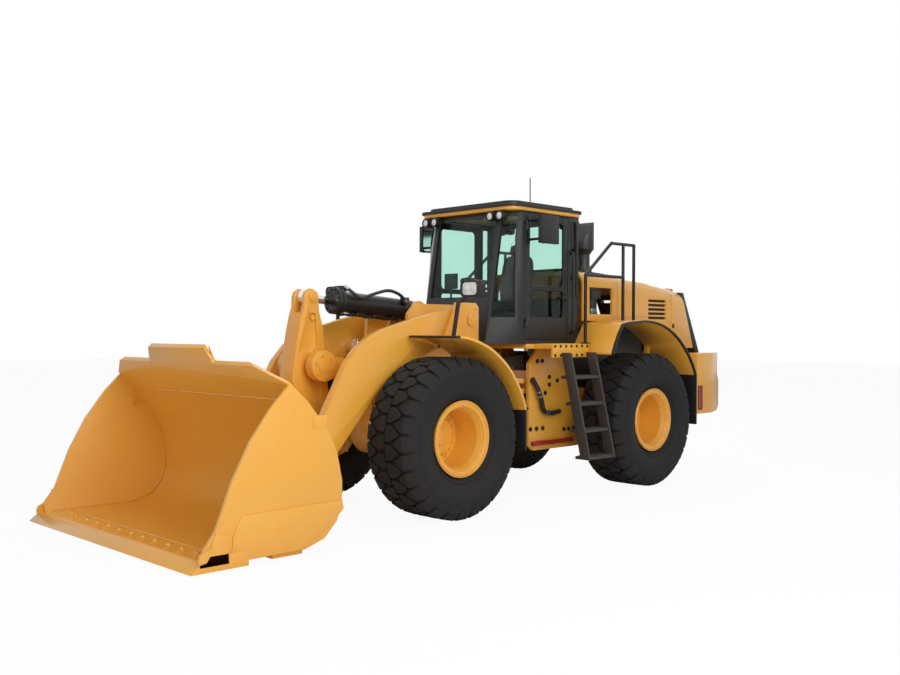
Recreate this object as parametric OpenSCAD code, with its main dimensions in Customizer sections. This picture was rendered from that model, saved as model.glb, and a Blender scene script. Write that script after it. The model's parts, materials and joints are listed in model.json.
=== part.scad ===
// Articulated wheel loader with a general purpose bucket, lever linkage and enclosed cab.
// Millimetres, +X forward, +Y to the loader's left, +Z up. The origin is at the bottom centre.

/* [Stance] */
// Distance between the axles, with the steering hinge halfway
wheelbase = 3550; // [3300:10:3800]
// Distance between the left and right tyre centres
track = 2230; // [2150:10:2350]
// Tyre diameter over the lugs
tyre_d = 1740; // [1650:10:1760]
// Tyre width
tyre_w = 700; // [620:10:740]
// Diameter of the rim where the tyre seats
rim_d = 660; // [600:5:700]
// Distance from the rear axle back to the tail
tail_reach = 2500; // [2400:10:2600]

/* [Loader linkage] */
// Lift arm pin, back from the front axle
arm_pin_back = 795; // [760:5:820]
// Lift arm pin height
arm_pin_z = 2150; // [2130:5:2170]
// Bucket pin, ahead of the front axle
bucket_pin_ahead = 1555; // [1530:5:1580]
// Bucket pin height
bucket_pin_z = 430; // [410:5:450]
// Lever pivot, ahead of the front axle
lever_pin_ahead = 1005; // [990:5:1020]
// Lever pivot height
lever_pin_z = 1634; // [1620:2:1650]
// Height of the rod pin over the lever pivot
lever_up = 744; // [735:1:755]
// Drop of the link pin under the lever pivot
lever_down = 679; // [672:1:686]
// Set-back of the link pin behind the lever pivot
lever_back = 140; // [134:1:146]
// Height of the bucket's link pin over the bucket pin
link_pin_up = 174; // [168:1:180]
// Tilt cylinder base pin, back from the front axle
tilt_pin_back = 493; // [485:1:500]
// Tilt cylinder base pin height
tilt_pin_z = 2261; // [2255:1:2265]
// Thickness of a lift arm
arm_t = 100; // [80:5:105]
// Inner face of a lift arm from the centre plane
arm_y = 600; // [590:5:605]
// Thickness of the lever
lever_t = 240; // [220:5:245]

/* [Bucket] */
// Distance from the bucket pin to the edge's tip
bucket_reach = 1798; // [1700:10:1850]
// Height of the bucket's back edge
bucket_h = 1728; // [1690:5:1760]
// Width of the bucket over its edge
bucket_w = 3254; // [3100:10:3400]
// Thickness of the bucket's side plates
bucket_side_t = 36; // [25:1:50]
// Thickness of the bolt-on edge
edge_t = 38; // [30:1:45]

/* [Cab] */
// Height of the cab floor, which is the platform's top
deck_z = 1865; // [1850:5:1875]
// Half the width of the cab
cab_half_w = 790; // [760:5:800]
// Height of the cab's roof line
cab_top_z = 3490; // [3400:10:3600]
// Front of the cab at the floor
cab_front_x = 560; // [520:5:580]
// Front of the cab under the roof
cab_brow_x = 290; // [250:5:320]
// Back of the cab
cab_back_x = -950; // [-960:5:-900]
// Thickness of the cab's walls
cab_wall = 45; // [30:1:60]
// Front edge of a door
door_front_x = 95; // [80:5:110]
// Back edge of a door
door_back_x = -731; // [-760:5:-700]
// Thickness of the glass
glass_t = 8; // [5:1:12]
// Height of the roof over the roof line
roof_h = 120; // [90:5:140]

/* [Body] */
// Half the width of the hood
hood_half_w = 820; // [780:5:825]
// Height of the hood at its front
hood_z = 2818; // [2780:2:2840]
// Height of the hood's top at its back
hood_back_z = 2545; // [2500:5:2580]
// Wall of the hood
hood_wall = 30; // [20:1:40]
// Outer edge of the fenders from the centre plane
fender_y = 1470; // [1440:5:1490]
// Thickness of the fenders
fender_t = 28; // [15:1:35]
// Half the width of the counterweight
weight_half_w = 1100; // [1050:5:1150]
// Top of the exhaust stack
stack_z = 3525; // [3450:5:3550]
// Top of the aerial
aerial_z = 4000; // [3950:5:4050]

/* [Frames] */
// Outer face of the front frame's side plates
front_frame_y = 380; // [375:1:390]
// Thickness of the front frame's side plates
front_plate_t = 50; // [40:1:60]
// Outer face of the rear frame's side plates
rear_frame_y = 520; // [510:2:540]
// Thickness of the rear frame's side plates
rear_plate_t = 50; // [40:1:60]
// Radius of the steering hinge pins
hitch_pin_r = 80; // [60:1:90]
// Thickness of a hinge lug
hitch_lug_t = 60; // [50:1:62]
// Height of the lower hinge lug's middle
hitch_low_z = 690; // [680:2:700]
// Height of the upper hinge lug's middle
hitch_high_z = 1320; // [1310:2:1330]
// Radius of the tow pin hole
tow_pin_r = 26; // [20:1:30]

/* [Hidden] */

$fn = 48;
// Play of a pin in its bore
pin_play = 0.5;
// Gap at a moving face
run_gap = 6;
// Overrun of a cut past the face it opens
over = 20;
// How far joined pieces sink into each other
sink = 10;

// Places of the axles, hinge and tail
front_axle_x = wheelbase / 2;
rear_axle_x = -wheelbase / 2;
axle_z = tyre_d / 2;
tip_x = front_axle_x + bucket_pin_ahead + bucket_reach;
tail_x = rear_axle_x - tail_reach;
origin_x = (tip_x + tail_x) / 2;

// Linkage pins as [x, z]
arm_pin = [front_axle_x - arm_pin_back, arm_pin_z];
bucket_pin = [front_axle_x + bucket_pin_ahead, bucket_pin_z];
lever_pivot = [front_axle_x + lever_pin_ahead, lever_pin_z];
rod_pin_ahead = 13;
rod_pin = lever_pivot + [rod_pin_ahead, lever_up];
lever_foot = lever_pivot - [lever_back, lever_down];
link_pin_ahead = 62;
bucket_link_pin = bucket_pin + [link_pin_ahead, link_pin_up];
tilt_base = [front_axle_x - tilt_pin_back, tilt_pin_z];

// Puts the loader's middle over the origin
module placed() translate([-origin_x, 0, 0]) children();

// A shape and its mirror image on the other side
module sides() {
    children();
    mirror([0, 1, 0]) children();
}

// An outline of [x, z] points, thick along Y from y
module plate_y(points, y, t) translate([0, y + t, 0]) rotate([90, 0, 0]) linear_extrude(t) polygon(points);

// An outline of [x, y] points, thick along Z from z
module plate_z(points, z, t) translate([0, 0, z]) linear_extrude(t) polygon(points);

// An outline of [y, z] points, thick along X from x
module plate_x(points, x, t) translate([x, 0, 0]) rotate([90, 0, 90]) linear_extrude(t) polygon(points);

// A box between pairs of limits
module block(x, y, z) translate([x[0], y[0], z[0]]) cube([x[1] - x[0], y[1] - y[0], z[1] - z[0]]);

// A round bar along Y at an [x, z] point
module bar_y(p, r, y, w) translate([p[0], y + w, p[1]]) rotate([90, 0, 0]) cylinder(r = r, h = w);

// A round bar between two points
module rod(p, q, r) {
    d = q - p;
    translate(p) rotate([0, acos(d[2] / norm(d)), atan2(d[1], d[0])]) cylinder(r = r, h = norm(d));
}

// A bent tube through a list of points, with a fitting a little wider at each bend
bend_share = 1.06;
module tube(points, r) {
    for (i = [0 : len(points) - 2]) rod(points[i], points[i + 1], r);
    for (i = [1 : 1 : len(points) - 2]) translate(points[i]) sphere(r = r * bend_share);
}

// Share points placed in a box with its corner at a point
function spread(shares, at, size) = [for (s = shares) [at[0] + s[0] * size[0], at[1] + s[1] * size[1]]];

// Points along an arc
function arc(c, r, a, b, n) = [for (i = [0 : n]) let (t = a + (b - a) * i / n) [c[0] + r * cos(t), c[1] + r * sin(t)]];

// A bar's outline between two round ends, as [x, z] points
bar_steps = 10;
function link_outline(p, q, rp, rq) =
    let (a = atan2(q[1] - p[1], q[0] - p[0]))
    concat(arc(p, rp, a + 90, a + 270, bar_steps), arc(q, rq, a - 90, a + 90, bar_steps));

// Turns a radius and height profile about the Y axis, its height along +Y
module turned() rotate([-90, 0, 0]) rotate_extrude($fn = 72) children();

// Wheels
rim_r = rim_d / 2;
flange_h = 72;
flange_r = rim_r + flange_h;
flange_t = 34;
bead_share = 0.343;
bead_half_w = tyre_w * bead_share;
bead_gap = 4;
tyre_r = tyre_d / 2;
// Carcass and one shoulder lug, as shares of the wall's height over the rim and of half the tyre's width
tyre_wall_shares = [
    [0.26, 0.886], [0.43, 0.985], [0.62, 0.985], [0.75, 0.97], [0.87, 0.85], [0.925, 0.7], [0.925, 0.28], [1, 0.28]];
lug_shares = [[0.88, 0.26], [0.99, 0.26], [0.99, 0.76], [0.75, 0.995], [0.72, 0.95], [0.88, 0.8]];
lug_n = 28;
lug_w = 125;
lug_stagger_share = 0.5;
rim_wall = 22;
disc_in = -180;
disc_t = 40;
hub_r = 230;
hub_top_r = 190;
hub_h = 70;
spindle_r = 100;
cap_t = 30;
dish_depth = 90;
dish_r_share = 0.88;

module tyre() {
    wall_h = tyre_r - rim_r;
    half = spread(tyre_wall_shares, [rim_r, 0], [wall_h, tyre_w / 2]);
    lug = [for (p = spread(lug_shares, [rim_r, 0], [wall_h, tyre_w / 2])) [p[1], p[0]]];
    near = concat([[rim_r, bead_half_w], [flange_r + bead_gap, bead_half_w]], half);
    far = [for (i = [len(near) - 1 : -1 : 0]) [near[i][0], -near[i][1]]];
    color("#2b2b2d") {
        turned() polygon(concat(near, far));
        for (i = [0 : lug_n - 1]) {
            rotate([0, i * 360 / lug_n, 0]) plate_x(lug, -lug_w / 2, lug_w);
            rotate([0, (i + lug_stagger_share) * 360 / lug_n, 0]) mirror([0, 1, 0]) plate_x(lug, -lug_w / 2, lug_w);
        }
    }
}

module rim() {
    lip_y = bead_half_w + flange_t;
    bore = spindle_r + pin_play;
    disc_out = disc_in + disc_t;
    profile = [
        [bore, disc_in], [rim_r - rim_wall, disc_in], [rim_r - rim_wall, -lip_y], [flange_r, -lip_y],
        [flange_r, -bead_half_w], [rim_r, -bead_half_w], [rim_r, bead_half_w], [flange_r, bead_half_w],
        [flange_r, lip_y], [flange_r * dish_r_share, lip_y], [rim_r - rim_wall, lip_y - dish_depth],
        [rim_r - rim_wall, disc_out], [hub_r, disc_out], [hub_top_r, disc_out + hub_h],
        [0, disc_out + hub_h], [0, disc_out + hub_h - cap_t], [bore, disc_out + hub_h - cap_t]];
    color("#f5b335") turned() polygon(profile);
}

// Carries a wheel piece, made facing +Y, to a corner of the loader
module at_wheel(x, side) placed() translate([x, side * track / 2, axle_z]) rotate([0, 0, side > 0 ? 0 : 180]) children();

module tyre_front_left() at_wheel(front_axle_x, 1) tyre();
module tyre_front_right() at_wheel(front_axle_x, -1) tyre();
module tyre_rear_left() at_wheel(rear_axle_x, 1) tyre();
module tyre_rear_right() at_wheel(rear_axle_x, -1) tyre();
module rim_front_left() at_wheel(front_axle_x, 1) rim();
module rim_front_right() at_wheel(front_axle_x, -1) rim();
module rim_rear_left() at_wheel(rear_axle_x, 1) rim();
module rim_rear_right() at_wheel(rear_axle_x, -1) rim();

// Axles
axle_hub_r = 245;
axle_arm_r = 165;
axle_bowl_r = 280;
axle_bowl_w = 300;
axle_hub_w = 165;
nose_r = 150;
nose_l = 480;
shaft_r = 62;
yoke_r = 80;
yoke_l = 120;

// One axle: a bowl in the middle, two arms, the hub drums and the spindles
module axle(x, way) {
    end_y = track / 2 + disc_in - run_gap;
    tip_y = track / 2 + disc_in + disc_t + hub_h - cap_t - run_gap;
    profile = [
        [0, -tip_y], [spindle_r, -tip_y], [spindle_r, -end_y], [axle_hub_r, -end_y],
        [axle_hub_r, -end_y + axle_hub_w], [axle_arm_r, -end_y + axle_hub_w], [axle_arm_r, -axle_bowl_w],
        [axle_bowl_r, -axle_bowl_w / 2], [axle_bowl_r, axle_bowl_w / 2], [axle_arm_r, axle_bowl_w],
        [axle_arm_r, end_y - axle_hub_w], [axle_hub_r, end_y - axle_hub_w], [axle_hub_r, end_y],
        [spindle_r, end_y], [spindle_r, tip_y], [0, tip_y]];
    shaft_end = -way * yoke_l;
    placed() {
        translate([x, 0, axle_z]) turned() polygon(profile);
        rod([x, 0, axle_z], [x + way * nose_l, 0, axle_z], nose_r);
        rod([x, 0, axle_z], [shaft_end, 0, axle_z], shaft_r);
        rod([shaft_end + shaft_end, 0, axle_z], [shaft_end, 0, axle_z], yoke_r);
    }
}

module front_axle() color("#f5b335") axle(front_axle_x, -1);
module rear_axle() color("#f5b335") axle(rear_axle_x, 1);

// Front frame: two tower plates, joined by cross plates, with hinge lugs behind
front_frame_back = 560;
front_frame_l = 1590;
front_frame_z = 600;
front_frame_h = 1730;
tower_shares = [
    [0, 0.03], [0, 0.47], [0.12, 0.64], [0.16, 0.92], [0.21, 1], [0.61, 1], [0.68, 0.93], [0.72, 0.62],
    [0.88, 0.42], [1, 0.29], [1, 0.05], [0.95, 0], [0.05, 0]];
seat_gap = 0.3;
axle_seat_r = axle_arm_r + seat_gap;
cross_t = 50;
tower_beam_shares = [0.37, 0.65];
tower_beam_z = 1880;
tower_beam_t = 80;
tilt_ear_y = 135;
tilt_ear_t = 40;
tilt_ear_r = 110;
tilt_pin_r = 60;
arm_boss_r = 98;
arm_pin_r = 75;
arm_pin_cap = 20;
// Cheeks outside the arms that hold the arm pins' far ends, with a shelf back to the tower
cheek_shares = [[0, 0], [0, 0.89], [0.083, 1], [0.68, 1], [0.828, 0.636], [1, 0.289], [1, 0.152], [0.833, 0]];
cheek_at = arm_pin - [120, 300];
cheek_size = [540, 495];
cheek_t = 36;
shelf_l = 110;
shelf_t = 50;
hitch_nose_r = 170;
steer_pin_x = 180;
steer_pin_y = 380;
steer_pin_r = 34;
steer_ear_r = 62;
steer_ear_t = 26;
steer_z = 1000;
steer_eye_w = 90;
lift_base_back = 975;
lift_base_z = 720;
lift_base = [front_axle_x - lift_base_back, lift_base_z];
lift_base_r = 45;
lift_y = 490;
lift_eye_w = 130;
pin_head = 22;

// The front frame's hinge lug at one height
module front_lug(z) {
    half_w = front_frame_y - front_plate_t;
    difference() {
        union() {
            plate_z([[front_frame_back + sink, -half_w], [front_frame_back + sink, half_w],
                [0, hitch_nose_r], [0, -hitch_nose_r]], z - hitch_lug_t / 2, hitch_lug_t);
            translate([0, 0, z - hitch_lug_t / 2]) cylinder(r = hitch_nose_r, h = hitch_lug_t);
        }
        translate([0, 0, z - hitch_lug_t]) cylinder(r = hitch_pin_r + pin_play, h = 2 * hitch_lug_t);
    }
}

// Plates over and under the steering rod's eye
module steer_ears() {
    root = [front_frame_back + sink, front_frame_y - front_plate_t];
    for (z = [steer_z - steer_eye_w / 2 - run_gap - steer_ear_t, steer_z + steer_eye_w / 2 + run_gap])
        sides() plate_z(link_outline([steer_pin_x, steer_pin_y], root, steer_ear_r, steer_ear_r), z, steer_ear_t);
}

module front_frame() color("#f5b335") placed() {
    half_w = front_frame_y - front_plate_t;
    nose_x = front_frame_back + front_frame_l;
    cheek_y = arm_y + arm_t + run_gap;
    beam_x = [for (s = tower_beam_shares) front_frame_back + s * front_frame_l];
    tower = spread(tower_shares, [front_frame_back, front_frame_z], [front_frame_l, front_frame_h]);
    sides() {
        difference() {
            plate_y(tower, half_w, front_plate_t);
            bar_y([front_axle_x, axle_z], axle_seat_r, half_w - over, front_plate_t + 2 * over);
            block([front_axle_x - axle_seat_r, front_axle_x + axle_seat_r],
                [half_w - over, front_frame_y + over], [front_frame_z - over, axle_z]);
        }
        bar_y(arm_pin, arm_boss_r, front_frame_y - sink, arm_y - run_gap - front_frame_y + sink);
        bar_y(arm_pin, arm_pin_r, front_frame_y, cheek_y + cheek_t + arm_pin_cap - front_frame_y);
        plate_y(spread(cheek_shares, cheek_at, cheek_size), cheek_y, cheek_t);
        block([cheek_at[0], cheek_at[0] + shelf_l], [front_frame_y - sink, cheek_y + sink], [cheek_at[1], cheek_at[1] + shelf_t]);
        bar_y(lift_base, lift_base_r, front_frame_y - sink, lift_y + lift_eye_w / 2 + pin_head - front_frame_y + sink);
        difference() {
            plate_y(concat(arc(tilt_base, tilt_ear_r, 0, 180, bar_steps),
                [[beam_x[0], tower_beam_z], [beam_x[1], tower_beam_z]]), tilt_ear_y, tilt_ear_t);
            bar_y(tilt_base, tilt_pin_r + pin_play, tilt_ear_y - over, tilt_ear_t + 2 * over);
        }
    }
    block([beam_x[0], beam_x[1]], [-half_w - sink, half_w + sink], [tower_beam_z, tower_beam_z + tower_beam_t]);
    difference() {
        block([front_frame_back, front_frame_back + cross_t], [-half_w - sink, half_w + sink],
            [front_frame_z + cross_t, hitch_high_z + hitch_lug_t]);
        rod([front_frame_back - over, 0, axle_z], [front_frame_back + cross_t + over, 0, axle_z], shaft_r + over);
    }
    block([nose_x - cross_t, nose_x], [-half_w - sink, half_w + sink],
        [axle_z + axle_bowl_r, axle_z + axle_bowl_r + 2 * cross_t]);
    front_lug(hitch_low_z);
    front_lug(hitch_high_z);
    steer_ears();
}

// Front fenders, as angles about the axle and shares of the tyre's radius
front_fender_shares = [[84, 1.235], [101, 1.175], [120, 1.13], [143, 1.1], [164, 1.1]];
fender_in_y = 742;
bracket_y = 714;
bracket_t = 34;
bracket_r = 60;

// A fender's sheet from a table of angles and radius shares
function fender_point(x, s, out) =
    let (r = s[1] * tyre_r + out) [x + r * cos(s[0]), axle_z + r * sin(s[0])];
// The table with steps filled in between its rows, so the sheet bends evenly
fender_steps = 3;
function fine(shares) = concat(
    [for (i = [0 : len(shares) - 2], k = [0 : fender_steps - 1]) shares[i] + (shares[i + 1] - shares[i]) * k / fender_steps],
    [shares[len(shares) - 1]]);
// The space under a fender's top face, down to the axle
function fender_room(x, shares) = concat([for (s = fine(shares)) fender_point(x, s, fender_t)], [[x, axle_z]]);
function fender_outline(x, shares) = let (rows = fine(shares), n = len(rows)) concat(
    [for (s = rows) fender_point(x, s, 0)], [for (i = [n - 1 : -1 : 0]) fender_point(x, rows[i], fender_t)]);

module front_fenders() color("#f5b335") placed() sides() {
    hold = fender_point(front_axle_x, front_fender_shares[2], fender_t / 2);
    plate_y(fender_outline(front_axle_x, front_fender_shares), fender_in_y, fender_y - fender_in_y);
    difference() {
        plate_y(link_outline([front_axle_x, axle_z + axle_arm_r], hold, bracket_r, fender_t / 2), bracket_y, bracket_t);
        bar_y([front_axle_x, axle_z], axle_seat_r, bracket_y - over, bracket_t + 2 * over);
    }
}

flap_h = 450;
lip_l = 70;
lip_t = 34;
// A flap that hangs from the last edge of a fender's sheet
module flap(x, s, h, y) {
    near = fender_point(x, s, 0);
    far = fender_point(x, s, fender_t);
    plate_y([far, near, [near[0], near[1] - h], [far[0], near[1] - h]], y, fender_y - y);
}

module front_flaps() color("#222223") placed() sides() {
    low = front_fender_shares[len(front_fender_shares) - 1];
    edge = [fender_point(front_axle_x, front_fender_shares[0], 0), fender_point(front_axle_x, front_fender_shares[0], fender_t)];
    flap(front_axle_x, low, flap_h, fender_in_y);
    plate_y([edge[0], edge[0] + [lip_l, 0], edge[1] + [lip_l, 0], edge[1]], fender_in_y, fender_y - fender_in_y);
}

lamp_y = 1030;
lamp_foot = fender_point(front_axle_x, front_fender_shares[1], fender_t);
lamp_bend = [-60, 30, 430];
lamp_head = [-150, 190, 580];
lamp_arm_r = 24;
lamp_size = [110, 230, 170];
module headlamps() color("#2a2a2b") placed() sides() {
    foot = [lamp_foot[0], lamp_y, lamp_foot[1]];
    difference() {
        tube([foot - [0, 0, lamp_arm_r], foot + lamp_bend, foot + lamp_head], lamp_arm_r);
        plate_y(fender_room(front_axle_x, front_fender_shares), fender_in_y, fender_y - fender_in_y);
    }
    translate(foot + lamp_head - lamp_size / 2) cube(lamp_size);
}

// Lift arms, as shares of the run from the arm pin down to the bucket pin
arm_shares = [
    [0.036, 1.102], [0.169, 1.062], [0.329, 1.01], [0.555, 0.93], [0.627, 0.888], [0.697, 0.825], [0.766, 0.723],
    [0.813, 0.607], [0.866, 0.478], [1.035, 0.04], [0.968, -0.062], [0.838, 0.16], [0.706, 0.36], [0.583, 0.552],
    [0.435, 0.677], [0.257, 0.791], [0.01, 0.905]];
arm_eye_r = 165;
arm_tip_r = 128;
lift_pin_back = 75;
lift_pin_z = 1835;
lift_pin = [front_axle_x - lift_pin_back, lift_pin_z];
lift_boss_r = 85;
bucket_pin_r = 70;

module lift_arm() {
    run = [bucket_pin[0] - arm_pin[0], arm_pin[1] - bucket_pin[1]];
    difference() {
        union() {
            plate_y(spread(arm_shares, [arm_pin[0], bucket_pin[1]], run), arm_y, arm_t);
            bar_y(arm_pin, arm_eye_r, arm_y, arm_t);
            bar_y(bucket_pin, arm_tip_r, arm_y, arm_t);
            bar_y(lift_pin, lift_boss_r, lift_y + lift_eye_w / 2 + run_gap, arm_y - lift_y - lift_eye_w / 2);
        }
        bar_y(arm_pin, arm_pin_r + pin_play, arm_y - over, arm_t + 2 * over);
        bar_y(bucket_pin, bucket_pin_r + pin_play, arm_y - over, arm_t + 2 * over);
    }
}
module lift_arm_left() color("#f5b335") placed() lift_arm();
module lift_arm_right() color("#f5b335") placed() mirror([0, 1, 0]) lift_arm();

tube_back = 477;
tube_down = 54;
tube_r = 120;
lever_ear_t = 60;
lever_ear_r = 120;
lever_pin_r = 65;
lever_gap = 8;
module arm_cross_tube() color("#f5b335") placed() {
    middle = lever_pivot - [tube_back, tube_down];
    ear_y = lever_t / 2 + lever_gap;
    bar_y(middle, tube_r, -arm_y, 2 * arm_y);
    sides() difference() {
        plate_y(link_outline(middle, lever_pivot, tube_r, lever_ear_r), ear_y, lever_ear_t);
        bar_y(lever_pivot, lever_pin_r + pin_play, ear_y - over, lever_ear_t + 2 * over);
    }
}

// A pin along Y with a head at each end
module headed_pin(p, r, half_w) {
    bar_y(p, r, -half_w, 2 * half_w);
    sides() bar_y(p, r + pin_head, half_w, pin_head);
}
// The lever's pin ends in round bosses that keep it in the ears
boss_r = 165;
boss_t = 130;
module bossed_pin(p, r, half_w, end_r, end_t) {
    bar_y(p, r, -half_w, 2 * half_w);
    sides() bar_y(p, end_r, half_w, end_t);
}
module lever_pin() color("#3a3a3a") placed()
    bossed_pin(lever_pivot, lever_pin_r, lever_t / 2 + lever_gap + lever_ear_t + pin_play, boss_r, boss_t);

// Lever outline and the pocket in its faces, as shares of its height over and under the pivot
lever_up_shares = [[0, 1.105], [-0.05, 1.06], [-0.075, 1], [-0.1, 0.78], [-0.167, 0.554], [-0.187, 0.23]];
lever_front_shares = [
    [0.2, -0.5], [0.38, -0.22], [0.345, 0.035], [0.3, 0.3], [0.273, 0.456], [0.215, 0.72], [0.17, 0.86],
    [0.167, 1], [0.14, 1.07], [0.067, 1.12]];
pocket_shares = [
    [0.112, 0.745], [0.095, 0.765], [-0.01, 0.765], [-0.033, 0.745], [-0.07, 0.31], [-0.062, 0.27], [0.005, 0.2],
    [0.21, 0.2], [0.24, 0.22], [0.25, 0.27], [0.235, 0.36]];
pocket_d = 32;
fork_slot = 140;
fork_floor = 170;
foot_r = 115;
rod_cap_r = 52;
module lever() color("#f5b335") placed() {
    h = [lever_up, lever_up];
    foot_a = atan2(-lever_down, -lever_back);
    outline = concat(spread(lever_front_shares, lever_pivot, h), spread(lever_up_shares, lever_pivot, h),
        arc(lever_foot, foot_r, foot_a - 90, foot_a + 90, bar_steps));
    difference() {
        plate_y(outline, -lever_t / 2, lever_t);
        bar_y(lever_pivot, lever_pin_r + pin_play, -lever_t, 2 * lever_t);
        bar_y(lever_foot, link_pin_r + pin_play, -lever_t, 2 * lever_t);
        block([rod_pin[0] - lever_up, rod_pin[0] + lever_up], [-fork_slot / 2, fork_slot / 2],
            [rod_pin[1] - fork_floor, rod_pin[1] + lever_up]);
        bar_y(lever_foot, foot_r * foot_clear_share, -fork_slot / 2, fork_slot);
        sides() plate_y(spread(pocket_shares, lever_pivot, h), lever_t / 2 - pocket_d, pocket_d + over);
    }
    sides() bar_y(rod_pin, rod_cap_r, lever_t / 2 - sink, pin_head + sink);
}
foot_clear_share = 1.9;

link_pin_r = 50;
link_eye_r = 80;
link_bar_r = 62;
link_gap = 5;
link_boss_r = 110;
link_boss_t = 80;
module link_pin() color("#3a3a3a") placed()
    bossed_pin(lever_foot, link_pin_r, lever_t / 2 + pin_play, link_boss_r, link_boss_t);

module tilt_link() color("#f5b335") placed() {
    w = fork_slot - 2 * link_gap;
    difference() {
        union() {
            bar_y(lever_foot, link_eye_r, -w / 2, w);
            bar_y(bucket_link_pin, link_eye_r, -w / 2, w);
            plate_y(link_outline(lever_foot, bucket_link_pin, link_bar_r, link_bar_r), -w / 2, w);
        }
        bar_y(lever_foot, link_pin_r + pin_play, -w, 2 * w);
    }
}

module tilt_pin() color("#3a3a3a") placed() headed_pin(tilt_base, tilt_pin_r, tilt_ear_y + tilt_ear_t + pin_play);

// Tilt cylinder, along the line from its base pin to the rod pin
barrel_r = 120;
barrel_eye_r = 105;
barrel_eye_w = 250;
barrel_head_r = 145;
barrel_head_l = 70;
tilt_rod_r = 55;
tilt_bore_back = 168;
tilt_barrel_share = 0.765;
tilt_eye_r = 84;
tilt_eye_w = 126;
function along(p, q, s) = [p[0] + (q[0] - p[0]) * s, 0, p[1] + (q[1] - p[1]) * s];
module tilt_barrel() color("#2a2a2b") placed() {
    l = norm(rod_pin - tilt_base);
    difference() {
        union() {
            bar_y(tilt_base, barrel_eye_r, -barrel_eye_w / 2, barrel_eye_w);
            rod(along(tilt_base, rod_pin, 0), along(tilt_base, rod_pin, tilt_barrel_share), barrel_r);
            rod(along(tilt_base, rod_pin, tilt_barrel_share - barrel_head_l / l),
                along(tilt_base, rod_pin, tilt_barrel_share), barrel_head_r);
        }
        bar_y(tilt_base, tilt_pin_r + pin_play, -barrel_eye_w, 2 * barrel_eye_w);
        rod(along(tilt_base, rod_pin, tilt_bore_back / l), along(tilt_base, rod_pin, 1), tilt_rod_r + pin_play);
    }
}
tilt_rod_in_share = 0.3;
module tilt_rod() color("#c9ccd0") placed() {
    rod(along(tilt_base, rod_pin, tilt_rod_in_share), along(tilt_base, rod_pin, 1), tilt_rod_r);
    bar_y(rod_pin, tilt_eye_r, -tilt_eye_w / 2, tilt_eye_w);
}

// Lift cylinders
lift_barrel_r = 85;
lift_barrel_share = 0.8;
lift_rod_in_share = 0.2;
lift_bore_share = 0.1;
lift_rod_r = 46;
lift_eye_r = 88;
module lift_barrels() color("#2a2a2b") placed() sides() difference() {
    union() {
        bar_y(lift_base, lift_eye_r, lift_y - lift_eye_w / 2, lift_eye_w);
        translate([0, lift_y, 0]) rod(along(lift_base, lift_pin, 0), along(lift_base, lift_pin, lift_barrel_share), lift_barrel_r);
    }
    bar_y(lift_base, lift_base_r + pin_play, lift_y - lift_eye_w, 2 * lift_eye_w);
    translate([0, lift_y, 0]) rod(along(lift_base, lift_pin, lift_bore_share), along(lift_base, lift_pin, 1), lift_rod_r + pin_play);
}
module lift_rods() color("#c9ccd0") placed() sides() {
    translate([0, lift_y, 0]) rod(along(lift_base, lift_pin, lift_rod_in_share), along(lift_base, lift_pin, 1), lift_rod_r);
    bar_y(lift_pin, lift_eye_r, lift_y - lift_eye_w / 2, lift_eye_w);
}

// Bucket, as shares of its reach from the pin and of its height
bucket_outer_shares = [
    [0.918, 0.035], [0.3615, 0.035], [0.239, 0.075], [0.161, 0.156], [0.128, 0.26], [0.128, 0.37],
    [0.161, 0.521], [0.2225, 0.648], [0.35, 0.804]];
bucket_top_shares = [[0.5356, 1], [0.545, 0.978]];
bucket_inner_shares = [
    [0.3726, 0.793], [0.2475, 0.6366], [0.1846, 0.515], [0.1524, 0.37], [0.1524, 0.263],
    [0.1835, 0.171], [0.253, 0.0995], [0.3643, 0.059], [0.918, 0.059]];
bucket_front_shares = [[0.4505, 0.891], [0.5556, 0.781], [0.677, 0.616], [0.7775, 0.424], [0.863, 0.2], [0.929, 0.11], [0.918, 0.059]];
bucket_ear_t = 45;
bucket_ear_r = 118;
link_ear_t = 45;
link_ear_r = 84;
visor_half_w = 600;
visor_top_half_w = 520;
visor_h = 150;
visor_t = 30;
visor_lean = 60;
corner_half_w = 1146;
corner_drop = 190;
heel_pad_l = 320;
heel_pad_w = 900;
heel_sink = 9;
ear_in_share = 0.18;
bucket_ear_root_shares = [[0.2, 0.09], [0.2, 0.42]];
link_ear_root_shares = [[0.17, 0.2], [0.17, 0.48]];

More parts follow.
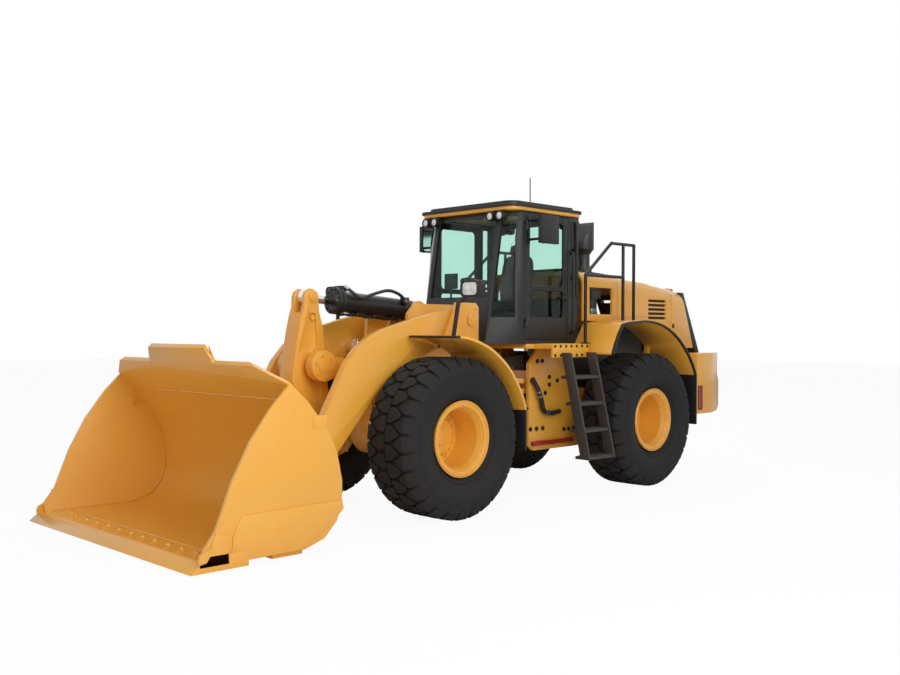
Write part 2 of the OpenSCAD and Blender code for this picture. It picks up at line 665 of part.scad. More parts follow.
module bucket() color("#f5b335") placed() {
    at = [bucket_pin[0], 0];
    size = [bucket_reach, bucket_h];
    side_y = bucket_w / 2 - edge_wrap_t - bucket_side_t;
    outer = spread(bucket_outer_shares, at, size);
    shell = concat(outer, spread(bucket_top_shares, at, size), spread(bucket_inner_shares, at, size));
    cheek = concat(outer, spread(bucket_front_shares, at, size));
    top = spread(bucket_top_shares, at, size);
    heel_x = at[0] + bucket_outer_shares[1][0] * bucket_reach;
    difference() {
        plate_y(shell, -side_y - sink, 2 * side_y + 2 * sink);
        sides() plate_x([[corner_half_w, bucket_h + over], [side_y + 2 * over, bucket_h + over],
            [side_y + 2 * over, bucket_h - corner_drop]], at[0], bucket_reach);
    }
    sides() plate_y(cheek, side_y, bucket_side_t);
    intersection() {
        plate_y([top[0] - [visor_t, 2 * visor_t], top[1], top[1] + [visor_lean, visor_h], top[0] + [visor_lean - visor_t / 2, visor_h]],
            -visor_half_w, 2 * visor_half_w);
        plate_x([[-visor_half_w, 0], [visor_half_w, 0], [visor_half_w, bucket_h], [visor_top_half_w, bucket_h + visor_h],
            [-visor_top_half_w, bucket_h + visor_h], [-visor_half_w, bucket_h]], at[0], bucket_reach);
    }
    sides() block([heel_x, heel_x + heel_pad_l], [side_y - heel_pad_w, side_y],
        [edge_low_z, bucket_outer_shares[1][1] * bucket_h + heel_sink]);
    for (y = [arm_y - run_gap - bucket_ear_t, arm_y + arm_t + run_gap]) sides() difference() {
        plate_y(concat(spread(bucket_ear_root_shares, at, size), arc(bucket_pin, bucket_ear_r, 90, 270, bar_steps)), y, bucket_ear_t);
        bar_y(bucket_pin, bucket_pin_r + pin_play, y - over, bucket_ear_t + 2 * over);
        bucket_room(y - over, bucket_ear_t + 2 * over, at, size);
    }
    sides() difference() {
        plate_y(concat(spread(link_ear_root_shares, at, size), arc(bucket_link_pin, link_ear_r, 80, 260, bar_steps)),
            fork_slot / 2, link_ear_t);
        bucket_room(fork_slot / 2 - over, link_ear_t + 2 * over, at, size);
    }
    sides() bar_y(bucket_link_pin, link_pin_r, fork_slot / 2 + link_ear_t - sink, pin_head + sink);
}

// The space inside the bucket's shell, which the ears stop short of
module bucket_room(y, w, at, size) plate_y(concat(spread(bucket_inner_shares, at, size), [[at[0] + size[0], size[1]]]), y, w);

keeper_r = 140;
keeper_t = 110;
module bucket_pins() color("#3a3a3a") placed() sides() {
    reach = run_gap + bucket_ear_t + pin_play;
    bar_y(bucket_pin, bucket_pin_r, arm_y - reach, arm_t + 2 * reach);
    bar_y(bucket_pin, keeper_r, arm_y + arm_t + reach, keeper_t);
    bar_y(bucket_pin, keeper_r, arm_y - reach - keeper_t, keeper_t);
}

edge_low_z = 20;
edge_wrap_t = 22;
edge_l = 370;
edge_bevel = 90;
corner_l = 550;
corner_h = 130;
module cutting_edge() color("#3b3a38") placed() {
    floor_z = bucket_outer_shares[0][1] * bucket_h;
    lip_z = bucket_inner_shares[8][1] * bucket_h;
    tip_in = bucket_pin[0] + bucket_outer_shares[0][0] * bucket_reach;
    plate_y([[tip_x, edge_low_z], [tip_x - edge_l, edge_low_z], [tip_x - edge_l, floor_z], [tip_in, floor_z],
        [tip_in, lip_z], [tip_x - edge_bevel, lip_z - sink]], -bucket_w / 2, bucket_w);
    sides() plate_y([[tip_x - edge_bevel, edge_low_z], [tip_x - corner_l, edge_low_z], [tip_x - corner_l, edge_low_z + corner_h],
        [tip_x - edge_bevel * 2, edge_low_z + corner_h]], bucket_w / 2 - edge_wrap_t, edge_wrap_t);
}

// Rear frame
rear_frame_front = -300;
weight_front_x = -3306;
rear_frame_l = rear_frame_front - weight_front_x;
rear_frame_z = 500;
platform_t = 60;
rear_frame_h = deck_z - platform_t - rear_frame_z;
rear_frame_shares = [
    [0, 0.06], [0, 0.85], [-0.06, 1], [-0.27, 1], [-0.3, 0.6], [-0.55, 0.56], [-1, 0.56], [-1, 0.2],
    [-0.72, 0.1], [-0.62, 0.04], [-0.3, 0], [-0.03, 0]];
tail_beam_shares = [0.25, 0.56];
web_x = -470;
web_t = 50;
web_low_h = 300;
steer_room = [800, 1210];
fork_gap = 5;
engine_beam_x = [[-2800, -2700], [-1560, -1460]];
beam_h = 80;
gearbox_beam_x = [-1150, -1050];

// The pair of plates that hold a hinge lug
module rear_fork(z) {
    half_w = rear_frame_y - rear_plate_t;
    for (low = [z - hitch_lug_t / 2 - fork_gap - hitch_lug_t, z + hitch_lug_t / 2 + fork_gap]) difference() {
        union() {
            plate_z([[web_x, -half_w], [web_x, half_w], [0, hitch_nose_r], [0, -hitch_nose_r]], low, hitch_lug_t);
            translate([0, 0, low]) cylinder(r = hitch_nose_r, h = hitch_lug_t);
        }
        translate([0, 0, low - over]) cylinder(r = hitch_pin_r + pin_play, h = hitch_lug_t + 2 * over);
    }
}

steer_base_x = -850;
steer_base_y = 270;
module rear_frame() color("#f5b335") placed() {
    half_w = rear_frame_y - rear_plate_t;
    sides() {
        difference() {
            plate_y(spread(rear_frame_shares, [rear_frame_front, rear_frame_z], [rear_frame_l, rear_frame_h]),
                half_w, rear_plate_t);
            bar_y([rear_axle_x, axle_z], axle_seat_r, half_w - over, rear_plate_t + 2 * over);
            block([rear_axle_x - axle_seat_r, rear_axle_x + axle_seat_r],
                [half_w - over, rear_frame_y + over], [rear_frame_z - over, axle_z]);
        }
        translate([steer_base_x, steer_base_y, steer_z - steer_eye_w])
            cylinder(r = steer_pin_r, h = 2 * steer_eye_w);
        block([steer_base_x - steer_ear_r, steer_base_x + steer_ear_r], [steer_base_y - steer_ear_r, half_w + sink],
            [steer_z - steer_eye_w - steer_ear_t, steer_z - steer_eye_w + sink]);
        block([steer_base_x - steer_ear_r, steer_base_x + steer_ear_r], [steer_base_y - steer_ear_r, half_w + sink],
            [steer_z + steer_eye_w - sink, steer_z + steer_eye_w + steer_ear_t]);
    }
    for (x = engine_beam_x) block(x, [-half_w - sink, half_w + sink], [engine_z[0] - beam_h, engine_z[0]]);
    block(gearbox_beam_x, [-half_w - sink, half_w + sink], [gearbox_z[0] - beam_h, gearbox_z[0]]);
    block([web_x - web_t, web_x], [-half_w - sink, half_w + sink], [rear_frame_z + web_t, steer_room[0]]);
    block([web_x - web_t, web_x], [-half_w - sink, half_w + sink], [steer_room[1], steer_room[1] + web_low_h]);
    block([weight_front_x, weight_front_x + 2 * web_t], [-half_w - sink, half_w + sink],
        [for (s = tail_beam_shares) rear_frame_z + s * rear_frame_h]);
    rear_fork(hitch_low_z);
    rear_fork(hitch_high_z);
}

module hitch_pins() color("#3a3a3a") placed() for (z = [hitch_low_z, hitch_high_z]) {
    half = 3 * hitch_lug_t / 2 + fork_gap;
    translate([0, 0, z - half]) cylinder(r = hitch_pin_r, h = 2 * half);
    for (end = [z - half - pin_head, z + half]) translate([0, 0, end]) cylinder(r = hitch_pin_r + pin_head, h = pin_head);
}

// One steering cylinder's barrel and rod
steer_barrel_r = 55;
steer_rod_r = 30;
steer_barrel_share = 0.67;
steer_rod_in_share = 0.38;
steer_bore_share = 0.1;
module steer_barrel() {
    base = [steer_base_x, steer_base_y, steer_z];
    end = [steer_pin_x, steer_pin_y, steer_z];
    difference() {
        union() {
            translate(base - [0, 0, steer_eye_w / 2]) cylinder(r = steer_ear_r, h = steer_eye_w);
            rod(base, base + (end - base) * steer_barrel_share, steer_barrel_r);
        }
        translate(base - [0, 0, steer_eye_w]) cylinder(r = steer_pin_r + pin_play, h = 2 * steer_eye_w);
        rod(base + (end - base) * steer_bore_share, end, steer_rod_r + pin_play);
    }
}
module steer_rod() {
    base = [steer_base_x, steer_base_y, steer_z];
    end = [steer_pin_x, steer_pin_y, steer_z];
    rod(base + (end - base) * steer_rod_in_share, end, steer_rod_r);
    translate(end - [0, 0, steer_eye_w / 2]) cylinder(r = steer_ear_r, h = steer_eye_w);
}
module steer_barrel_left() color("#2a2a2b") placed() steer_barrel();
module steer_barrel_right() color("#2a2a2b") placed() mirror([0, 1, 0]) steer_barrel();
module steer_rod_left() color("#c9ccd0") placed() steer_rod();
module steer_rod_right() color("#c9ccd0") placed() mirror([0, 1, 0]) steer_rod();

engine_x = [-2950, -1330];
engine_half_w = 400;
engine_z = [1180, 2080];
gearbox_x = [-1330, -560];
gearbox_half_w = 200;
gearbox_z = [1060, 1690];
// The engine and the gearbox ahead of it, as plain blocks
module powertrain() color("#4a4a46") placed() {
    block(engine_x, [-engine_half_w, engine_half_w], engine_z);
    block(gearbox_x, [-gearbox_half_w, gearbox_half_w], gearbox_z);
}

// Counterweight: a wide block that narrows to the tail, with a step and a tow clevis
weight_z = 845;
weight_step_z = 1400;
weight_top_z = 1717;
weight_taper_x = -3690;
weight_tail_half_w = 880;
weight_step = 110;
weight_chamfer = 150;
tow_slot_z = [1010, 1110];
tow_ear_z = 1250;
tow_slot_w = 220;
tow_slot_l = 170;
tow_pin_set = 80;
module counterweight() color("#f5b335") placed() difference() {
    intersection() {
        plate_z([[weight_front_x, -weight_half_w], [weight_taper_x, -weight_half_w], [tail_x, -weight_tail_half_w],
            [tail_x, weight_tail_half_w], [weight_taper_x, weight_half_w], [weight_front_x, weight_half_w]],
            weight_z, weight_top_z - weight_z);
        plate_y([[weight_front_x, weight_top_z], [tail_x + weight_step, weight_top_z], [tail_x + weight_step, weight_step_z],
            [tail_x, weight_step_z - weight_step], [tail_x, weight_z + weight_chamfer / 2], [tail_x + weight_chamfer, weight_z],
            [weight_front_x, weight_z]], -weight_half_w, 2 * weight_half_w);
    }
    block([tail_x - over, tail_x + tow_slot_l], [-tow_slot_w / 2, tow_slot_w / 2], [tow_ear_z, weight_top_z + over]);
    block([tail_x - over, tail_x + tow_slot_l], [-tow_slot_w / 2, tow_slot_w / 2], tow_slot_z);
    translate([tail_x + tow_pin_set, 0, tow_slot_z[1] - over]) cylinder(r = tow_pin_r, h = tow_ear_z - tow_slot_z[1] + 2 * over);
    translate([tail_x + tow_pin_set, 0, weight_z - over]) cylinder(r = tow_pin_r, h = tow_slot_z[0] - weight_z + 2 * over);
}

// Rear grille: a leaning frame with slats
grille_top = [-3460, 2600];
grille_foot = [-3900, 1717];
grille_t = 110;
grille_half_w = 770;
slat_n = 9;
slat_share = 0.5;
grille_border = 70;
// Hood hinge: its axis as [x, z], and the lugs that meet there
hood_hinge = [-3480, 2640];
hood_lug_r = 25;
hood_lug_t = 40;
hood_lug_y = 480;
hood_lug_root = [-3290, 2640];
grille_lug_root = [-3425, 2590];
hood_pin_r = 12;
module rear_grille() color("#232324") placed() {
    sides() {
        plate_y(link_outline(grille_lug_root, hood_hinge, hood_lug_r, hood_lug_r), hood_lug_y, hood_lug_t);
        bar_y(hood_hinge, hood_pin_r, hood_lug_y, 2 * hood_lug_t + run_gap);
    }
    lean = atan2(grille_foot[0] - grille_top[0], grille_top[1] - grille_foot[1]);
    h = norm(grille_top - grille_foot);
    pitch = (h - 2 * grille_border) / slat_n;
    difference() {
        plate_y([grille_top, grille_top + [grille_t, 0], grille_foot + [grille_t, 0], grille_foot], -grille_half_w, 2 * grille_half_w);
        for (i = [0 : slat_n - 1]) {
            s = (grille_border + (i + slat_share / 2) * pitch) / h;
            e = (grille_border + (i + slat_share / 2 + slat_share) * pitch) / h;
            lo = grille_foot + (grille_top - grille_foot) * s;
            hi = grille_foot + (grille_top - grille_foot) * e;
            plate_y([lo - [over, 0], lo + [grille_t + over, 0], hi + [grille_t + over, 0], hi - [over, 0]],
                -grille_half_w + grille_border, 2 * (grille_half_w - grille_border));
        }
    }
}

// Platform under the cab, with a skirt on each side
platform_half_w = 1100;
platform_front_x = 70;
platform_back_x = -780;
platform_cut = 140;
skirt_h = 165;
skirt_t = 40;
platform_tail_x = -1250;
module platform() color("#f5b335") placed() {
    block([platform_tail_x, platform_front_x], [-cab_half_w, cab_half_w], [deck_z - platform_t, deck_z]);
    sides() {
        block([platform_back_x, platform_front_x - platform_cut], [cab_half_w - sink, platform_half_w], [deck_z - platform_t, deck_z]);
        block([platform_back_x, platform_front_x - platform_cut], [platform_half_w - skirt_t, platform_half_w], [deck_z - skirt_h, deck_z]);
    }
}

// Ladders lean outwards to the ground
ladder_x = [-750, -230];
ladder_top = [platform_half_w, 1760];
ladder_foot = [1400, 480];
ladder_bar = [28, 140];
step_n = 4;
step_d = 240;
step_t = 36;
module ladders() color("#2a2a2b") placed() sides() {
    for (x = [ladder_x[0], ladder_x[1] - ladder_bar[0]])
        plate_x([ladder_top, ladder_top + [ladder_bar[1], 0], ladder_foot + [ladder_bar[1], 0], ladder_foot], x, ladder_bar[0]);
    for (i = [0 : step_n - 1]) {
        p = ladder_foot + (ladder_top - ladder_foot) * i / step_n;
        block(ladder_x, [p[0] - step_d / 3, p[0] + step_d / 2], [p[1], p[1] + step_t]);
    }
}

rail_r = 21;
rail_y = 1075;
rail_front = [-760, deck_z];
rail_knee = [-760, 2735];
rail_top = [-1300, 3170];
rail_back = [-1800, 3170];
rail_foot_z = 2152;
rail_back_foot_z = 2116;
rail_mid_x = -1560;
module handrails() color("#222223") placed() sides() {
    y = rail_y - rail_r;
    difference() {
        union() {
            tube([[rail_front[0], y, rail_front[1]], [rail_knee[0], y, rail_knee[1]], [rail_top[0], y, rail_top[1]],
                [rail_back[0], y, rail_back[1]], [rail_back[0], y, rail_back_foot_z]], rail_r);
            rod([rail_mid_x, y, rail_foot_z], [rail_mid_x, y, rail_top[1]], rail_r);
        }
        plate_y(fender_room(rear_axle_x, rear_fender_shares), rear_fender_in_y, fender_y - rear_fender_in_y);
    }
    tube([[rail_knee[0], y, rail_knee[1]], [rail_mid_x, y, rail_knee[1]]], rail_r);
}

rear_fender_shares = [[41.6, 1.49], [58.2, 1.66], [70, 1.54], [83.2, 1.464], [101.7, 1.38], [122.6, 1.295], [148.3, 1.232]];
rear_fender_in_y = 830;
rear_flap_h = 675;
stay_t = 60;
// Bracket from the frame over the tyre's shoulder, as [y, z] points
stay_foot = [[600, 1120], [520, 1120], [520, 1210], [700, 1500], [820, 1600]];
stay_y = [840, 900];
stay_knee = [[900, 1570], [740, 1440]];
module rear_fenders() color("#f5b335") placed() sides() {
    hold = fender_point(rear_axle_x, rear_fender_shares[5], fender_t / 2);
    plate_y(fender_outline(rear_axle_x, rear_fender_shares), rear_fender_in_y, fender_y - lip_t - rear_fender_in_y);
    plate_x(concat(stay_foot, [[stay_y[0], hold[1]], [stay_y[1], hold[1]]], stay_knee), hold[0] - stay_t / 2, stay_t);
}

module rear_flaps() color("#222223") placed() sides() {
    plate_y(fender_outline(rear_axle_x, rear_fender_shares), fender_y - lip_t, lip_t);
    flap(rear_axle_x, rear_fender_shares[len(rear_fender_shares) - 1], rear_flap_h, rear_fender_in_y);
}

filter_x = -1400;
filter_y = 650;
filter_z = [2150, 2560];
filter_r = 78;
filter_head = [200, 180, 120];
filter_drop = 80;
filter_head_drop = 100;
filter_arm_h = 100;
module fuel_filter() color("#5b5d54") placed() {
    translate([filter_x, filter_y, filter_z[0] - filter_drop]) cylinder(r = filter_r, h = filter_z[1] - filter_z[0]);
    translate([filter_x, filter_y, filter_z[1] - filter_head_drop] - [filter_head[0], filter_head[1], 0] / 2) cube(filter_head);
    arm_x = [filter_x - filter_r / 2, filter_x + filter_r / 2];
    block(arm_x, [engine_half_w, filter_y], [engine_z[1] - filter_arm_h - over, engine_z[1] - over]);
    block(arm_x, [filter_y - filter_r, filter_y], [engine_z[1] - filter_arm_h - over, filter_z[0]]);
}

lock_x = [-1150, -330];
lock_z = 590;
lock_r = 28;
module lock_bar() color("#b3261e") placed() {
    y = rear_frame_y + lock_r;
    rod([lock_x[0], y, lock_z], [lock_x[1], y, lock_z], lock_r);
}

// Cab
cab_corner_x = 150;
cab_corner_y = 560;
cab_floor_t = 30;
function cab_plan(inset, front) = [
    [cab_back_x + inset, -cab_half_w + inset], [cab_corner_x, -cab_half_w + inset],
    [front - inset, -cab_corner_y + inset / 2], [front - inset, cab_corner_y - inset / 2],
    [cab_corner_x, cab_half_w - inset], [cab_back_x + inset, cab_half_w - inset]];
slab_t = 1;

// The cab's solid form, drawn in by an inset
module cab_form(inset) hull() {
    plate_z(cab_plan(inset, cab_front_x), deck_z, slab_t);
    plate_z(cab_plan(inset, cab_brow_x), cab_top_z - slab_t, slab_t);
}

sill_z = 2440;
corner_sill_z = 2190;
head_z = 3420;
pane_half_w = 500;
window_depth = 350;
rear_sill_z = 2450;
rear_pane_half_w = 640;
corner_pane_share = [0.1, 0.86];
quarter_x = [-905, -775];

// The openings of the fixed windows
module cab_windows() {
    block([cab_brow_x - window_depth, cab_front_x + over], [-pane_half_w, pane_half_w], [sill_z, head_z]);
    block([cab_back_x - over, cab_back_x + 2 * cab_wall], [-rear_pane_half_w, rear_pane_half_w], [rear_sill_z, head_z]);
    sides() {
        block([quarter_x[0], quarter_x[1]], [cab_half_w - 2 * cab_wall, cab_half_w + over], [rear_sill_z, head_z]);
        corner_window();
    }
}

// The leaning pane between the windscreen and the door pillar
corner_window_y = [575, 745];
module corner_window() block([cab_corner_x - cab_wall / 2, cab_front_x + over], corner_window_y, [corner_sill_z, head_z]);

// Door hinges: two pairs of knuckles on each side
hinge_r = 16;
hinge_pin_r = 9;
hinge_out = 22;
hinge_h = 60;
hinge_leaf = 20;
hinge_z = [2060, 3250];
module hinge_bars(r, lift, h) for (z = hinge_z)
    translate([door_front_x - door_gap, cab_half_w + hinge_out, z + lift]) cylinder(r = r, h = h);
module knuckles(leaf_x, lift) {
    hinge_bars(hinge_r, lift, hinge_h);
    for (z = hinge_z) block([leaf_x, leaf_x + hinge_leaf], [cab_half_w - sink, cab_half_w + hinge_out], [z + lift, z + lift + hinge_h]);
}

module cab_frame() color("#2d2e30") placed() {
    sides() {
        knuckles(door_front_x, 0);
        hinge_bars(hinge_pin_r, 0, 2 * hinge_h);
    }
    difference() {
        cab_form(0);
        translate([0, 0, cab_floor_t]) cab_form(cab_wall);
        cab_windows();
        sides() block([door_back_x, door_front_x], [cab_half_w - 2 * cab_wall, cab_half_w + over], [door_z[0], door_z[1]]);
    }
}
door_z = [1912, 3470];

module cab_glass() color("#9fb8a8") placed() intersection() {
    difference() {
        cab_form(cab_wall / 2 - glass_t / 2);
        cab_form(cab_wall / 2 + glass_t / 2);
    }
    cab_windows();
}

roof_x = [-1038, 378];
roof_half_w = 840;
roof_corner_r = 140;
roof_band_h = 45;
roof_crown = 40;
// A slab with round corners over the cab
module roof_slab(inset, z, h) {
    x = [roof_x[0] + inset + roof_corner_r, roof_x[1] - inset - roof_corner_r];
    y = roof_half_w - inset - roof_corner_r;
    translate([0, 0, z]) linear_extrude(h) union() {
        translate([x[0] - roof_corner_r, -y]) square([x[1] - x[0] + 2 * roof_corner_r, 2 * y]);
        translate([x[0], -y - roof_corner_r]) square([x[1] - x[0], 2 * y + 2 * roof_corner_r]);
        for (px = x, py = [-y, y]) translate([px, py]) circle(r = roof_corner_r);
    }
}
module cab_roof() color("#2d2e30") placed() {
    roof_slab(0, cab_top_z + roof_band_h, roof_h - roof_band_h - roof_crown);
    roof_slab(2 * roof_crown, cab_top_z + roof_h - roof_crown, roof_crown);
    translate([aerial_at[0], aerial_at[1], cab_top_z + roof_h - roof_crown])
        cylinder(r = aerial_r, h = aerial_z - cab_top_z - roof_h + roof_crown);
}
module roof_band() color("#f5b335") placed() roof_slab(roof_crown / 2, cab_top_z, roof_band_h);

roof_lamp_r = 58;
roof_lamp_d = 100;
roof_lamp_y = [490, 650];
roof_lamp_drop = 14;
roof_lamp_in = 62;
roof_lamp_foot = 22;
// Work lamps that hang under the roof's front and back edges
module roof_lamps() color("#2a2a2b") placed() sides() for (y = roof_lamp_y, end = [0, 1]) {
    way = 2 * end - 1;
    z = cab_top_z - roof_lamp_r - roof_lamp_drop;
    at = roof_x[end] - way * roof_lamp_in;
    rod([at, y, z], [at + way * roof_lamp_d, y, z], roof_lamp_r);
    block([at + way * roof_lamp_foot - roof_lamp_foot / 2, at + way * roof_lamp_foot + roof_lamp_foot / 2],
        [y - roof_lamp_foot, y + roof_lamp_foot], [z, cab_top_z]);
}

aerial_r = 7;
aerial_at = [-500, 350];

seat_x = [-640, -120];
seat_half_w = 270;
seat_z = 2380;
seat_t = 130;
seat_back_h = 720;
seat_post_half = 150;
module seat() color("#3a3b3d") placed() {
    block([seat_x[0] + seat_t, seat_x[1] - seat_t], [-seat_post_half, seat_post_half], [deck_z + cab_floor_t, seat_z - seat_t + sink]);
    block(seat_x, [-seat_half_w, seat_half_w], [seat_z - seat_t, seat_z]);
    plate_y([[seat_x[0], seat_z - sink], [seat_x[0] + seat_t, seat_z - sink], [seat_x[0], seat_z + seat_back_h],
        [seat_x[0] - seat_t, seat_z + seat_back_h]], -seat_half_w, 2 * seat_half_w);
}

column_foot = [330, 1865];
column_top = [120, 2620];
column_r = 45;
wheel_r = 200;
wheel_rim_r = 18;
wheel_hub_r = 63;
spoke_r = 14;
spoke_angles = [90, 210, 330];
foot_plate = 75;
module console() color("#3a3b3d") placed() {
    a = [column_foot[0], 0, column_foot[1] + cab_floor_t];
    b = [column_top[0], 0, column_top[1]];
    rod(a + [0, 0, column_r / 2], b, column_r);
    block([a[0] - foot_plate, a[0] + foot_plate], [-foot_plate, foot_plate], [a[2], a[2] + column_r]);
    translate(b) rotate([0, -atan2(a[0] - b[0], b[2] - a[2]), 0]) {
        rotate_extrude($fn = 48) translate([wheel_r, 0]) circle(r = wheel_rim_r);
        cylinder(r = wheel_hub_r, h = 2 * wheel_rim_r, center = true);
        for (t = spoke_angles) rotate([0, 90, t]) cylinder(r = spoke_r, h = wheel_r);
    }
}

door_t = 40;
door_gap = 6;
door_frame_w = 70;
door_window_z = 2190;
// A door: its frame and lower panel around a window, with the pane set in
module door() {
    difference() {
        knuckles(door_front_x - 2 * door_gap - hinge_leaf, hinge_h + 2 * pin_play);
        hinge_bars(hinge_pin_r + pin_play, 0, 2 * hinge_h + over);
    }
    y0 = cab_half_w - door_t;
    x = [door_back_x + door_gap, door_front_x - door_gap];
    z = [door_z[0] + door_gap, door_z[1] - door_gap];
    difference() {
        block(x, [y0, cab_half_w], z);
        block([x[0] + door_frame_w, x[1] - door_frame_w], [y0 - over, cab_half_w + over],
            [door_window_z, z[1] - door_frame_w]);
    }
    block([x[0] + door_frame_w - sink, x[1] - door_frame_w + sink], [y0 + glass_t, y0 + 2 * glass_t],
        [door_window_z - sink, z[1] - door_frame_w + sink]);
}
module door_left() color("#2d2e30") placed() door();
module door_right() color("#2d2e30") placed() mirror([0, 1, 0]) door();

mirror_at = [-40, 1050, 3255];
mirror_size = [320, 60, 345];
mirror_arm_r = 16;
mirror_foot_t = 14;
mirror_foot_w = 34;
module mirror_unit() {
    root_x = door_front_x - door_gap - door_frame_w + mirror_foot_w / 2;
    translate(mirror_at - mirror_size / 2) cube(mirror_size);
    for (z = [mirror_at[2] - mirror_size[2] / 3, mirror_at[2] + mirror_size[2] / 3])
        rod([root_x, cab_half_w + mirror_foot_t / 2, z], [mirror_at[0] + mirror_size[0] / 3, mirror_at[1], z], mirror_arm_r);
    block([root_x - mirror_foot_w / 2, root_x + mirror_foot_w / 2], [cab_half_w, cab_half_w + mirror_foot_t],
        [mirror_at[2] - mirror_size[2] / 2, mirror_at[2] + mirror_size[2] / 2]);
}
module mirror_left() color("#222223") placed() mirror_unit();
module mirror_right() color("#222223") placed() mirror([0, 1, 0]) mirror_unit();

// Hood: a shell lofted through three round-shouldered sections
hood_front_x = -1010;
hood_mid_x = -2459;
hood_mid_z = 2737;
hood_back_x = -3560;
hood_low_z = 1790;
hood_skirt_z = 2160;
shoulder_r = 190;
shoulder_steps = 6;
function hood_section(z, inset) = let (w = hood_half_w - inset, r = shoulder_r - inset, top = z - inset) concat(
    [[-w, hood_low_z - over]], [for (p = arc([-w + r, top - r], r, 180, 90, shoulder_steps)) p],
    [for (p = arc([w - r, top - r], r, 90, 0, shoulder_steps)) p], [[w, hood_low_z - over]]);

// The hood's solid form, drawn in by an inset
module hood_form(inset, grow) {
    hull() {
        plate_x(hood_section(hood_z, inset), hood_front_x - slab_t + grow, slab_t);
        plate_x(hood_section(hood_mid_z, inset), hood_mid_x, slab_t);
    }
    hull() {
        plate_x(hood_section(hood_mid_z, inset), hood_mid_x, slab_t);
        plate_x(hood_section(hood_back_z, inset), hood_back_x - hood_run, slab_t);
    }
}
hood_run = 400;
hood_cut_run = 1200;
hood_cut_drop = 280;
hood_foot_shares = [[-0.5, 0], [-0.66, 0.55], [-0.72, 1], [-1.3, 1], [-1.3, -0.5], [0.2, -0.5], [0.2, 0]];
filter_room_x = [-1640, -1150];
filter_room_z = [2250, 2600];
vent_x = [-2930, -2490];
vent_z = [2200, 2500];
vent_bar_n = 5;
vent_gap_share = 0.6;
module hood() color("#f5b335") placed() {
    hood_shell();
    sides() difference() {
        plate_y(link_outline(hood_hinge, hood_lug_root, hood_lug_r, hood_lug_r), hood_lug_y + hood_lug_t + 2 * pin_play, hood_lug_t);
        bar_y(hood_hinge, hood_pin_r + pin_play, hood_lug_y, 2 * hood_lug_t + over);
    }
}
module hood_shell() difference() {
    hood_form(0, 0);
    hood_form(hood_wall, over);
    plate_y([[hood_front_x + over, hood_low_z - 2 * over], [hood_front_x + over, hood_skirt_z], [vent_x[1], hood_skirt_z],
        [vent_x[0] - over, hood_low_z], [hood_back_x - 2 * hood_run, hood_low_z], [hood_back_x - 2 * hood_run, hood_low_z - 2 * over]],
        -hood_half_w - over, 2 * hood_half_w + 2 * over);
    plate_y([grille_top + [grille_t + door_gap, hood_z], grille_top + [grille_t + door_gap, 0], grille_foot + [grille_t + door_gap, -hood_cut_drop],
        grille_foot - [hood_cut_run, hood_cut_drop], grille_top + [-hood_cut_run, hood_z]], -hood_half_w - over, 2 * hood_half_w + 2 * over);
    sides() {
        block(filter_room_x, [hood_half_w - 2 * hood_wall, hood_half_w + over], filter_room_z);
        for (i = [0 : vent_bar_n - 1]) {
            h = (vent_z[1] - vent_z[0]) / vent_bar_n;
            block(vent_x, [hood_half_w - 2 * hood_wall, hood_half_w + over], [vent_z[0] + i * h, vent_z[0] + (i + vent_gap_share) * h]);
        }
    }
}

deck_panel_x = [-2300, -1030];
deck_panel_half_w = 560;
deck_panel_t = 40;
// Height of the hood's top at a place along it
function hood_top(x) = hood_z - (hood_z - hood_mid_z) * (hood_front_x - slab_t - x) / (hood_front_x - slab_t - hood_mid_x);
function deck_line(lift) = [for (x = deck_panel_x) [x, hood_top(x) + lift]];
module hood_deck() color("#222223") placed()
    plate_y(concat(deck_line(seat_gap / 2), [for (i = [1, 0]) deck_line(deck_panel_t)[i]]), -deck_panel_half_w, 2 * deck_panel_half_w);

stack_at = [-1690, 300];
stack_r = 84;
stack_head_r = 140;
stack_head_h = 385;
stack_cone_h = 80;
stack_outlet_r = 92;
stack_outlet_share = 0.46;
// Side view of the slanted head, as shares of its radius and height
stack_head_shares = [[1.2, 0], [1.2, 0.06], [0.1, 0.9], [-0.08, 0.98], [-0.3, 1], [-0.55, 0.96], [-1.2, 0.62], [-1.2, 0]];
stack_foot_r = 112;
stack_foot_h = 100;
module exhaust_stack() color("#3a3632") placed() difference() {
    foot_z = hood_top(stack_at[0]);
    neck_z = stack_z - stack_head_h;
    translate([stack_at[0], stack_at[1], 0]) union() {
        translate([0, 0, foot_z]) cylinder(r = stack_r, h = neck_z - foot_z);
        translate([0, 0, foot_z]) cylinder(r = stack_foot_r, h = deck_panel_t + stack_foot_h);
        translate([0, 0, neck_z + over - stack_cone_h]) cylinder(r1 = stack_r, r2 = stack_head_r, h = stack_cone_h);
        intersection() {
            translate([0, 0, neck_z + over - sink]) cylinder(r = stack_head_r, h = stack_head_h);
            plate_y(spread(stack_head_shares, [0, neck_z + over - sink], [stack_head_r, stack_head_h - over + sink]),
                -2 * stack_head_r, 4 * stack_head_r);
        }
    }
    rod([stack_at[0] - 2 * stack_head_r, stack_at[1], neck_z + stack_outlet_share * stack_head_h],
        [stack_at[0] + over, stack_at[1], neck_z + stack_outlet_share * stack_head_h], stack_outlet_r);
    plate_y(concat(deck_line(deck_panel_t), [[deck_panel_x[1], hood_low_z], [deck_panel_x[0], hood_low_z]]),
        -deck_panel_half_w, 2 * deck_panel_half_w);
}

